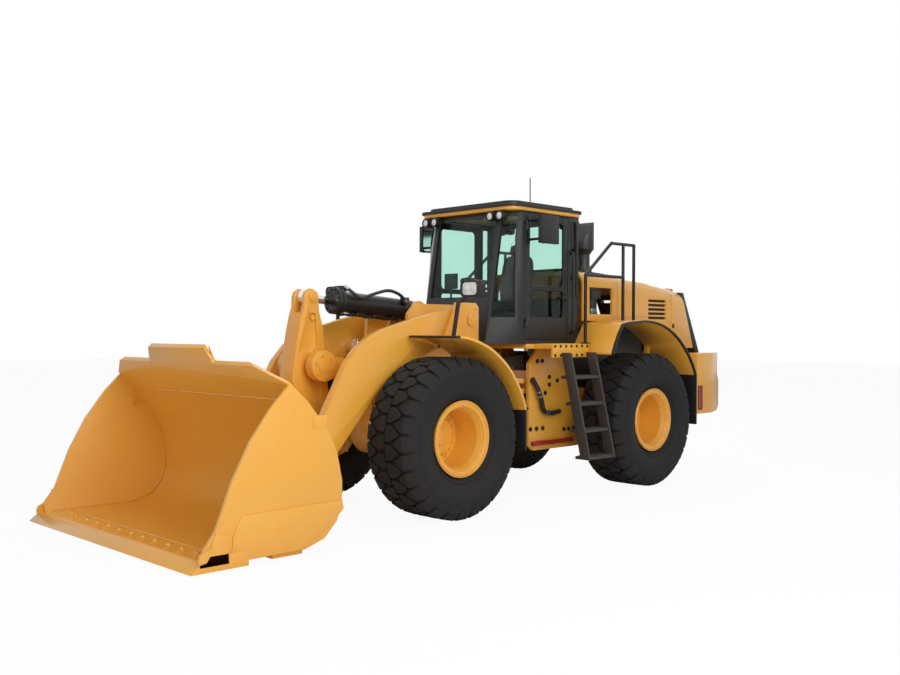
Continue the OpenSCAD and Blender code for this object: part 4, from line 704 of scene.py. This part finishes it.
GUSSET = [(4186, 1560), (4274, 1724), (4332, 1862), (4286, 1760), (4166, 1600)]
SKID = [(4700, 60), (4700, 40), (4000, 40), (3900, 60)]
bm = bmesh.new()
for y in (-560, 0, 560):
    add_plate(bm, outline(GUSSET, y - 12), (0, 0.024, 0), 2)
for y in (-1330, -900, -250, 250, 900, 1330):
    add_plate(bm, outline(SKID, y - 55), (0, 0.11, 0), 3)
finish_piece("bucket_back_ribs", bm, YELLOW, "bucket")
print("bucket dressed")

# %% [markdown]
# ## Doors and mirrors
# A door is a bent frame around two panes, so it is made as a ring: two rounded loops are bridged and
# the ring is pushed to its thickness. The panes sit inside with a rubber seal, and the hinge knuckles
# are turned bars.

# %% Loops and rings
CORNER_STEPS = 5
RING_SHARP = 0.9


def rounded(u0, u1, v0, v1, r, grow=0):
    """Points round a rectangle with round corners, which may be grown on all sides."""
    u0, u1, v0, v1 = u0 - grow, u1 + grow, v0 - grow, v1 + grow
    corners = ((u1 - r, v1 - r, 0), (u0 + r, v1 - r, 90), (u0 + r, v0 + r, 180), (u1 - r, v0 + r, 270))
    points = []
    for u, v, start in corners:
        for k in range(CORNER_STEPS + 1):
            a = math.radians(start + 90 * k / CORNER_STEPS)
            points.append((u + r * math.cos(a), v + r * math.sin(a)))
    return points


def add_ring(bm, outer, inner, direction, round_mm=3):
    """A flat ring between two loops with equal counts, pushed along a direction."""
    edges = []
    for loop in (outer, inner):
        verts = [bm.verts.new(p) for p in loop]
        edges += [bm.edges.new(pair) for pair in zip(verts, verts[1:] + verts[:1])]
    faces = bmesh.ops.bridge_loops(bm, edges=edges)["faces"]
    moved = new_verts(bmesh.ops.extrude_face_region(bm, geom=faces)["geom"])
    bmesh.ops.translate(bm, vec=direction, verts=moved)
    if round_mm:
        crisp = {e for e in edges_of(moved) if len(e.link_faces) == 2 and e.calc_face_angle(0) > RING_SHARP}
        bevel_all(bm, crisp, round_mm / 1000)


def add_bead(bm, loop, r):
    """A closed bead along a loop of points."""
    points = [Vector(p) for p in loop]
    add_pipe(bm, points + points[:2], r, 6, 0.004, 1)


print("ring helpers ready")

# %% [markdown]
# A cut through a solid door would leave long thin faces, so each leaf is a ring with its own pane. The left
# and the right door come from one function.

# %% Doors
DOOR_X, PANE_X = (-725, 89), (-655, 19)
LEAVES = [((2553, 3464), (2575, 3394), 66), ((1918, 2555), (2190, 2533), 52)]
HINGE_LINE = (89, 812)
MIRROR_POST = (67, 1049)
MIRROR_FACE = (-184, 104, 3100, 3410)


def dress_door(word, side):
    """The frame, panes, seals and hinge knuckles of one door."""
    body = "door_" + word
    bm, pane, seal = bmesh.new(), bmesh.new(), bmesh.new()
    for leaf_z, pane_z, r in LEAVES:
        outer = outline(rounded(*DOOR_X, *leaf_z, 8), side * 750)
        inner = outline(rounded(*PANE_X, *pane_z, r), side * 750)
        add_ring(bm, outer, inner, (0, side * 0.040, 0), 4)
        wide = outline(rounded(*PANE_X, *pane_z, r, 12), side * 758)
        add_plate(pane, wide, (0, side * 0.008, 0))
        add_bead(seal, outline(rounded(*PANE_X, *pane_z, r, -3), side * 784), 0.009)
    x, y = HINGE_LINE[0], side * HINGE_LINE[1]
    for z in (2060, 3250):
        add_rod(bm, at(x, y, z + 60.5), at(x, y, z + 120.5), 0.016, 20, None, 2)
        add_box(bm, at(63, side * 796 - 15, z + 62), at(83, side * 796 + 15, z + 119), 3)
    finish_piece("door_frame_" + word, bm, CHARCOAL, body, (body,))
    finish_piece("door_pane_" + word, pane, GLASS, body)
    # the handle and its plate share the seal's black
    add_box(seal, at(-712, side * 806 - 15, 2418), at(-590, side * 806 + 15, 2462), 10)
    add_box(seal, at(-718, side * 797 - 8, 2400), at(-668, side * 797 + 8, 2480), 6)
    finish_piece("door_seal_" + word, seal, BLACK, body)


def dress_mirror(word, side):
    """The mirror's shell, its face and the clamps on its post."""
    body = "door_" + word
    soften("mirror_" + word, BLACK, 0.018, 3)
    bm = bmesh.new()
    add_plate(bm, outline(rounded(*MIRROR_FACE, 34), side * 1019), (0, side * 0.004, 0))
    finish_piece("mirror_face_" + word, bm, CHROME, body)
    bm = bmesh.new()
    x, y = MIRROR_POST[0], side * MIRROR_POST[1]
    for z in (3140, 3370):
        add_rod(bm, at(x, y, z - 22), at(x, y, z + 22), 0.024, 16, None, 3)
    add_rod(bm, at(x, y, 3075), at(x, y, 3435), 0.012, 14)
    finish_piece("mirror_clamp_" + word, bm, BLACK, body)


for word, side in (("left", 1), ("right", -1)):
    dress_door(word, side)
    dress_mirror(word, side)
print("doors and mirrors dressed")

# %% [markdown]
# ## Lamps
# Work lamps are black housings with a clear lens set in a bezel. The lens is a shallow dome: rings
# that close on a raised middle.

# %% Headlamps
DOME_RINGS, ROUND = 3, 24


def add_dome(bm, centre, out, r, rise):
    """A shallow lens: rings that close on a raised middle."""
    centre, out = Vector(centre), Vector(out).normalized()
    loops = []
    for k in range(DOME_RINGS + 1):
        share = 1 - k / (DOME_RINGS + 1)
        spot = Matrix.Translation(centre + out * rise * (1 - share ** 2)) @ facing(out)
        ring = bmesh.ops.create_circle(bm, segments=ROUND, radius=r * share, cap_ends=k == DOME_RINGS,
                                       matrix=spot)
        loops.append(ring["verts"])
    bridge_rings(bm, loops)


soften("headlamps", BLACK, 0.016, 3)
soften("roof_lamps", BLACK, 0.006, 2)
BEZEL, BEZEL_HOLE, LENS_EDGE = (1070, 1350, 2386, 2576), (1100, 1320, 2412, 2550), (1098, 1322, 2410, 2552)
lens, bezel = bmesh.new(), bmesh.new()
rim, hole = ([at(1392, u, v) for u, v in loop] for loop in (rounded(*BEZEL, 60), rounded(*BEZEL_HOLE, 40)))
add_ring(bezel, rim, hole, (0.112, 0, 0), 10)
add_plate(lens, [at(1486, u, v) for u, v in rounded(*LENS_EDGE, 40)], (0.005, 0, 0))
for u in (1155, 1265):
    add_dome(lens, at(1491, u, 2481), (1, 0, 0), 0.050, 0.008)
both_sides(lens)
both_sides(bezel)
finish_piece("headlamp_lens", lens, LENS, "front_chassis")
finish_piece("headlamp_bezel", bezel, BLACK, "front_chassis")
print("headlamps dressed")

# %% [markdown]
# The roof lamps are small and round: four look forward and four back.

# %% Roof lamps
ROOF_LAMP_Z = 3418
LENS_R, BEZEL_R = 0.047, 0.057
TURNS = [FULL * k / ROUND for k in range(ROUND)]
lens, bezel = bmesh.new(), bmesh.new()
for y in (490, 650):
    for x, way in ((416, 1), (-1076, -1)):
        add_dome(lens, at(x - way * 2, y, ROOF_LAMP_Z), (way, 0, 0), LENS_R, 0.010)
        middle = at(x - way * 6, y, ROOF_LAMP_Z)
        rim, hole = ([middle + Vector((0, r * math.cos(t), r * math.sin(t))) for t in TURNS]
                     for r in (BEZEL_R, LENS_R))
        add_ring(bezel, rim, hole, (way * 0.014, 0, 0), 2)
both_sides(lens)
both_sides(bezel)
finish_piece("roof_lamp_lens", lens, LENS, "rear_chassis")
finish_piece("roof_lamp_bezel", bezel, BLACK, "rear_chassis")
print("roof lamps dressed")

# %% [markdown]
# ## Ladders, rails and platform
# The ladders, handrails and steps are dark. Each step has ribs that grip a boot, bolts hold the ladder
# and the rail's feet to the platform, and small studs give the platform grip.

# %% Ladders
STEP_COUNT, STEP_RIBS = 4, 5
LADDER_FOOT_Y, LADDER_TOP_Y = 1400, 1100
LADDER_FOOT_Z, LADDER_TOP_Z = 480, 1760
LADDER_RUN, LADDER_RISE = LADDER_FOOT_Y - LADDER_TOP_Y, LADDER_TOP_Z - LADDER_FOOT_Z
STEP_TOP = 36
BROWN = finish("step_brown_black", (0.040, 0.032, 0.027), 0.55, vary=0.15, bump=0.12, bump_scale=300)
soften("ladders", BROWN, 0.005)
soften("handrails", BLACK, 0.002)
bm = bmesh.new()
for i in range(STEP_COUNT):
    y = LADDER_FOOT_Y - LADDER_RUN * i / STEP_COUNT
    z = LADDER_FOOT_Z + LADDER_RISE * i / STEP_COUNT + STEP_TOP
    for k in range(STEP_RIBS):
        add_box(bm, at(-716, y - 66 + 40 * k, z - 2), at(-264, y - 54 + 40 * k, z + 6), 2, 1)
for x, way in ((-736, -1), (-244, 1)):
    for z in (1700, 1640):
        y = LADDER_TOP_Y + LADDER_RUN * (LADDER_TOP_Z - z) / LADDER_RISE
        add_bolt(bm, at(x, y + 70, z), (way, 0, 0), 0.014)
both_sides(bm)
finish_piece("step_ribs", bm, BROWN, "rear_chassis")
print("ladders dressed")

# %% [markdown]
# The skirt's bolts, the rail's foot and the deck's studs are laid out in rows by loops, as they are drilled.

# %% Platform
RAIL_FOOT_X, DECK_Z = -760, 1865
bm = bmesh.new()
for x in range(-740, -100, 105):
    for z in (1726, 1838):
        add_bolt(bm, at(x, 1100, z), LEFT, 0.013)
add_box(bm, at(RAIL_FOOT_X - 60, 1020, DECK_Z - 1), at(RAIL_FOOT_X + 60, 1090, DECK_Z + 14), 4)
for dx in (-42, 42):
    add_bolt(bm, at(RAIL_FOOT_X + dx, 1054, DECK_Z + 14), (0, 0, 1), 0.012)
both_sides(bm)
finish_piece("platform_bolts", bm, DARK_STEEL, "rear_chassis")
bm = bmesh.new()
for x in [-755 + 43 * i for i in range(16)]:
    for y in [812 + 44 * k for k in range(7)]:
        add_rod(bm, at(x, y, DECK_Z - 1), at(x, y, DECK_Z + 4), 0.011, 8, 0.008)
both_sides(bm)
finish_piece("deck_grip", bm, YELLOW, "rear_chassis")
print("platform dressed")

# %% [markdown]
# ## Cab interior
# The seat shows through every window. Its pads are cubes with a fine grid that is drawn onto a crowned
# form, so they bulge like foam under cloth. Round them stand a bellows, arm pods, a lever, a screen and
# a dash.

# %% Seat
def add_pad(bm, low, high, lean=0.0, power=4.5, cuts=9):
    """A crowned pad between two corners, leaning about its foot."""
    low, high = Vector(low), Vector(high)
    pad = bmesh.new()
    bmesh.ops.create_cube(pad, size=2.0)
    bmesh.ops.subdivide_edges(pad, edges=pad.edges, cuts=cuts, use_grid_fill=True)
    half, middle = (high - low) / 2, (high + low) / 2
    for v in pad.verts:
        v.co /= sum(abs(c) ** power for c in v.co) ** (1 / power)
        v.co = Vector([c * h for c, h in zip(v.co, half)]) + middle
    bmesh.ops.rotate(pad, verts=pad.verts, cent=(middle.x, middle.y, low.z),
                     matrix=Matrix.Rotation(math.radians(lean), 3, "Y"))
    absorb(bm, pad)


CLOTH = finish("seat_cloth", (0.030, 0.031, 0.034), 0.92, vary=0.12, scale=40, bump=0.25,
               bump_scale=900)
bm = bmesh.new()
add_pad(bm, at(-640, -262, 2262), at(-120, 262, 2400))
add_pad(bm, at(-655, -255, 2350), at(-535, 255, 3030), -7)
add_pad(bm, at(-705, -135, 3010), at(-615, 135, 3170), -7, 3.2)
for y in (-235, 235):
    add_pad(bm, at(-600, y - 30, 2320), at(-150, y + 30, 2428), 0, 3.4, 7)
pads = finish_piece("seat_pads", bm, CLOTH, "rear_chassis", ("seat",))
print("seat padded")

# %% [markdown]
# Below and beside the pads only outlines show through the glass, so boxes and bars are enough here.

# %% Seat base and controls
BELLOWS_FOLDS, FOLD_H, CAB_FLOOR_Z = 6, 50, 1910
bm = bmesh.new()
add_box(bm, at(-590, -215, 2205), at(-170, 215, 2275), 14)  # pan under the cushion
for k in range(BELLOWS_FOLDS):
    grow, z = (0 if k % 2 else 18), CAB_FLOOR_Z + FOLD_H * k
    add_box(bm, at(-520 - grow, -160 - grow, z), at(-240 + grow, 160 + grow, z + FOLD_H), 10)
for side in (-1, 1):
    add_box(bm, at(-560, side * 345 - 45, 2470), at(-210, side * 345 + 45, 2545), 24, 3)
    add_box(bm, at(-560, side * 330 - 20, 2230), at(-470, side * 330 + 20, 2480), 8)
add_box(bm, at(-520, -640, CAB_FLOOR_Z), at(-60, -450, 2440), 22, 3)  # side cabinet, then the lever
add_rod(bm, at(-255, -345, 2545), at(-235, -345, 2640), 0.010, 12)
add_rod(bm, at(-238, -345, 2625), at(-225, -345, 2725), 0.026, 16, 0.030, 10)
add_box(bm, at(205, -470, 2560), at(245, -250, 2760), 12)  # screen, its post and the dash
add_rod(bm, at(225, -360, 2440), at(225, -360, 2570), 0.014, 12)
add_box(bm, at(255, -380, 2200), at(330, 380, 2300), 20, 3)
finish_piece("seat_base", bm, TRIM, "rear_chassis")
soften("console", TRIM, 0.004)
print("interior dressed")

# %% [markdown]
# ## Linkage
# The tilt cylinder carries a flange with twelve bolts where its rod leaves, two steel lines under the
# barrel and a hose that arches from its foot. The tower, the lever and the lever's pin have caps with
# rings of bolts, and each lift cylinder has a flange and a line of its own.

# %% Tilt cylinder
def add_bolt_ring(bm, centre, out, r, count, size, start=0.0):
    """Bolts round a centre, facing out."""
    out = Vector(out).normalized()
    u = out.orthogonal().normalized()
    v = out.cross(u)
    for k in range(count):
        a = start + FULL * k / count
        add_bolt(bm, Vector(centre) + (u * math.cos(a) + v * math.sin(a)) * r, out, size, False)


def beside(foot, run, share, y, rise):
    """A point beside a cylinder: share of its run, place across and rise in millimetres."""
    up = Vector((-run.z, 0, run.x)).normalized()
    return foot + run * share + Vector((0, y / 1000, 0)) + up * (rise / 1000)


TILT_FOOT, TILT_EYE = at(1282, 0, 2261), at(2793, 0, 2378)
TILT_RUN = TILT_EYE - TILT_FOOT
TILT_LINE = ((0.15, -132), (0.60, -132), (0.66, -150), (0.69, -138))
TILT_HOSE = ((0.12, 150, 70), (0.20, 172, 150), (0.32, 172, 190), (0.46, 160, 120), (0.58, 150, 40),
             (0.66, 120, 120), (0.69, 60, 168))
TILT_CRIMPS = (((0.115, 150, 66), (0.150, 158, 100)), ((0.672, 96, 138), (0.694, 58, 170)))


def tilt(share, y, rise):
    """A point beside the tilt cylinder."""
    return beside(TILT_FOOT, TILT_RUN, share, y, rise)


bm = bmesh.new()
for share in (0.700, 0.736):
    add_rod(bm, tilt(share, 0, 0), tilt(share + 0.028, 0, 0), 0.152, 40, None, 4)
add_bolt_ring(bm, tilt(0.766, 0, 0), TILT_RUN, 0.126, 12, 0.014)
for y in (-58, 58):
    add_pipe(bm, [tilt(share, y, rise) for share, rise in TILT_LINE], 0.013, 10, 0.03)
for share in (0.22, 0.40, 0.56):
    lo, hi = tilt(share - 0.014, -88, -150), tilt(share + 0.014, 88, -116)
    add_box(bm, (min(lo.x, hi.x), lo.y, min(lo.z, hi.z)), (max(lo.x, hi.x), hi.y, max(lo.z, hi.z)), 6)
add_box(bm, tilt(0.66, -70, 118), tilt(0.72, 70, 172), 8)
add_box(bm, tilt(0.10, 90, 60), tilt(0.16, 165, 128), 8)
finish_piece("tilt_gland", bm, BLACK, "tilt_barrel")
bm = bmesh.new()
add_pipe(bm, [tilt(*spot) for spot in TILT_HOSE], 0.019, 12, 0.10, 6)
finish_piece("tilt_hose", bm, HOSE, "tilt_barrel")
bm = bmesh.new()
for start, end in TILT_CRIMPS:
    add_rod(bm, tilt(*start), tilt(*end), 0.024, 16, None, 3)
finish_piece("tilt_crimps", bm, STEEL, "tilt_barrel")
print("tilt cylinder dressed")

# %% [markdown]
# A cap and its bolts keep a pin from walking out. Each is made on the left and mirrored.

# %% Pin caps
TOWER_BOLTS = ((905, 2280), (1190, 2285), (1330, 1960), (905, 1900), (1130, 1890))
bm = bmesh.new()
add_rod(bm, at(980, 760, 2150), at(980, 770, 2150), 0.082, 32, None, 3)
add_bolt_ring(bm, at(980, 770, 2150), LEFT, 0.054, 4, 0.014, 0.6)
for x, z in TOWER_BOLTS:
    add_bolt(bm, at(x, 742, z), LEFT, 0.016)
both_sides(bm)
finish_piece("tower_caps", bm, YELLOW, "front_chassis")
bm = bmesh.new()
add_rod(bm, at(2780, 317, 1634), at(2780, 326, 1634), 0.078, 32, None, 3)
add_bolt_ring(bm, at(2780, 318, 1634), LEFT, 0.118, 6, 0.016, 0.5)
both_sides(bm)
finish_piece("lever_pin_bolts", bm, YELLOW, "lever_pin")
bm = bmesh.new()
for x, z, r in ((2793, 2378, 0.072), (2790, 2150, 0.030)):
    add_rod(bm, at(x, 118, z), at(x, 126, z), r, 32, None, 3)
add_bolt_ring(bm, at(2793, 141, 2378), LEFT, 0.028, 3, 0.010)
both_sides(bm)
finish_piece("lever_caps", bm, YELLOW, "lever")
print("pin caps made")

# %% [markdown]
# The lift cylinders lie between the tower and the arms. Points beside the left one are found as for the tilt
# cylinder, and the right one is its mirror image.

# %% Lift cylinders
LIFT_FOOT, LIFT_EYE = at(800, 490, 720), at(1700, 490, 1835)
LIFT_RUN = LIFT_EYE - LIFT_FOOT
LIFT_LINE = ((0.14, 70), (0.17, 104), (0.70, 104), (0.73, 80))
LIFT_BANDS = ((0.755, 0.014, 0.098, 3), (0.785, 0.014, 0.098, 3),
              (0.28, 0.025, 0.090, 2), (0.55, 0.025, 0.090, 2))


def lift(share, y, rise):
    """A point beside the left lift cylinder."""
    return beside(LIFT_FOOT, LIFT_RUN, share, y, rise)


bm = bmesh.new()
for share, wide, r, round_mm in LIFT_BANDS:
    add_rod(bm, lift(share, 0, 0), lift(share + wide, 0, 0), r, 32, None, round_mm)
add_bolt_ring(bm, lift(0.801, 0, 0), LIFT_RUN, 0.082, 10, 0.010)
add_pipe(bm, [lift(share, 0, rise) for share, rise in LIFT_LINE], 0.014, 10, 0.03)
both_sides(bm)
finish_piece("lift_glands", bm, BLACK, "lift_barrels")
print("lift cylinders dressed")

# %% [markdown]
# ## Frames and fenders
# Rows of bolts hold the side plates of the frames and the lips of the fenders. Bolts in a bump map would
# vanish at the outline, so they are real heads. The frame's heads are dark steel, and that dark is partly
# painted shade for the holes at their places. A hose with silver clamps runs beside the hitch.

# %% Frames and fenders
LIP_BOLTS = ((1519, 1895), (1280, 1776), (1078, 1608), (921, 1396), (818, 1152))
FRAME_BOLTS = ((-459, 1640), (-555, 1640), (-516, 1171), (-546, 1062), (-618, 1227), (-331, 775),
               (-448, 775), (-570, 775), (-1003, 735), (-1101, 735), (-1204, 735), (-700, 1330),
               (-700, 1430), (-860, 1380))
FRAME_HOSE = [at(-300, 575, 1420), at(-390, 590, 1300), at(-470, 590, 1130), at(-520, 575, 990),
              at(-700, 560, 960), at(-880, 545, 980)]
bm = bmesh.new()
for x, z in LIP_BOLTS:
    add_bolt(bm, at(x, 1468, z), LEFT, 0.012)
for y, z in ((1142, 1848), (1354, 1780)):
    add_bolt(bm, at(1890, y, z), (1, 0, 0), 0.014)
both_sides(bm)
finish_piece("fender_bolts", bm, DARK_STEEL, "front_chassis")
# the frame's bolt heads are dark steel, and their dark is partly painted shade for the holes at these places
bm = bmesh.new()
for x, z in FRAME_BOLTS:
    add_bolt(bm, at(x, 520, z), LEFT, 0.020)
both_sides(bm)
finish_piece("frame_bolts_and_hole_shade", bm, DARK_STEEL, "rear_chassis")
bm = bmesh.new()
add_pipe(bm, FRAME_HOSE, 0.030, 14, 0.08, 6)
finish_piece("frame_hose", bm, HOSE, "rear_chassis")
bm = bmesh.new()
for k in (1, 3):
    p, run = FRAME_HOSE[k], FRAME_HOSE[k + 1] - FRAME_HOSE[k]
    half = run.normalized() * 0.012
    for share in (0.30, 0.62):
        add_rod(bm, p + run * share - half, p + run * share + half, 0.035, 20, None, 3)
finish_piece("frame_clamps", bm, STEEL, "rear_chassis")
print("frames dressed")

# %% [markdown]
# ## Hood and tail
# A dark brown plate behind each side vent is painted shade, so that the vents look deep, and a radiator
# stands behind the rear grille so that its opening looks deep. The hood's seams and latches are thin dark
# pieces laid on its sides.

# %% Hood
# painted shade: this dark brown stands for the shade inside each side vent
VENT_SHADE = finish("vent_painted_shade", (0.055, 0.036, 0.024), 0.8, vary=0.2, scale=60)
SEAMS = ((-1760, -1757, 1900, 2700), (-3060, -3057, 1900, 2560))
RADIATOR = ((-3330, 2460), (-3350, 2460), (-3700, 1790), (-3680, 1790))
bm, seams = bmesh.new(), bmesh.new()
for side in (-1, 1):
    # the plate behind each vent, whose dark brown is painted shade
    add_box(bm, at(-2950, side * 783 - 3, 2190), at(-2470, side * 783 + 3, 2510), 0)
    for x0, x1, z0, z1 in SEAMS:
        add_box(seams, at(x0, side * 820 - 1, z0), at(x1, side * 820 + 1, z1), 0)
    for x in (-1700, -3120):
        add_box(seams, at(x - 26, side * 822 - 5, 2080), at(x + 26, side * 822 + 5, 2140), 6)
finish_piece("vent_shade_plate", bm, VENT_SHADE, "hood")
finish_piece("hood_seams", seams, BLACK, "hood")
bm = bmesh.new()
add_plate(bm, outline(RADIATOR, -690), (0, 1.38, 0))
finish_piece("radiator", bm, DARK_STEEL, "rear_chassis")
print("hood dressed")

# %% [markdown]
# A tail lamp is a red lens in a frame that stands a little proud of it, made from the door's loops.

# %% Tail lamps and fuel filter
TAIL_RIM, TAIL_HOLE = (-3453, -3338, 901, 1250), (-3435, -3356, 919, 1232)
TAIL_LENS = (-3437, -3354, 917, 1234)
FILTER_X, FILTER_Y = -1400, 650
lens, bezel = bmesh.new(), bmesh.new()
rim, hole = outline(rounded(*TAIL_RIM, 20), 1094), outline(rounded(*TAIL_HOLE, 12), 1094)
add_ring(bezel, rim, hole, (0, 0.014, 0), 3)
add_plate(lens, outline(rounded(*TAIL_LENS, 12), 1096), (0, 0.007, 0))
both_sides(lens)
both_sides(bezel)
finish_piece("tail_lamp_lens", lens, RED, "rear_chassis")
finish_piece("tail_lamp_frame", bezel, BLACK, "rear_chassis")
soften("fuel_filter", DARK_STEEL, 0.006)
BOWL = finish("filter_bowl", (0.05, 0.16, 0.11), 0.25, coat=0.4)
bm = bmesh.new()
add_rod(bm, at(FILTER_X, FILTER_Y, 2230), at(FILTER_X, FILTER_Y, 2330), 0.0795, 28, None, 6)
finish_piece("filter_bowl", bm, BOWL, "rear_chassis")
print("tail dressed")

# %% [markdown]
# ## Cab outside
# A grab rail stands behind each door. A bent bar could be a curve with a round bevel, but the same tube
# helper as for hoses gives a mesh at once.

# %% Cab outside
GRAB_X = -778
GRAB_RAIL = ((792, 1990), (850, 2020), (850, 3010), (792, 3040))
bm = bmesh.new()
for side in (-1, 1):
    add_pipe(bm, [at(GRAB_X, side * y, z) for y, z in GRAB_RAIL], 0.016, 12, 0.03, 5)
finish_piece("cab_rails", bm, BLACK, "rear_chassis")
print("cab dressed")
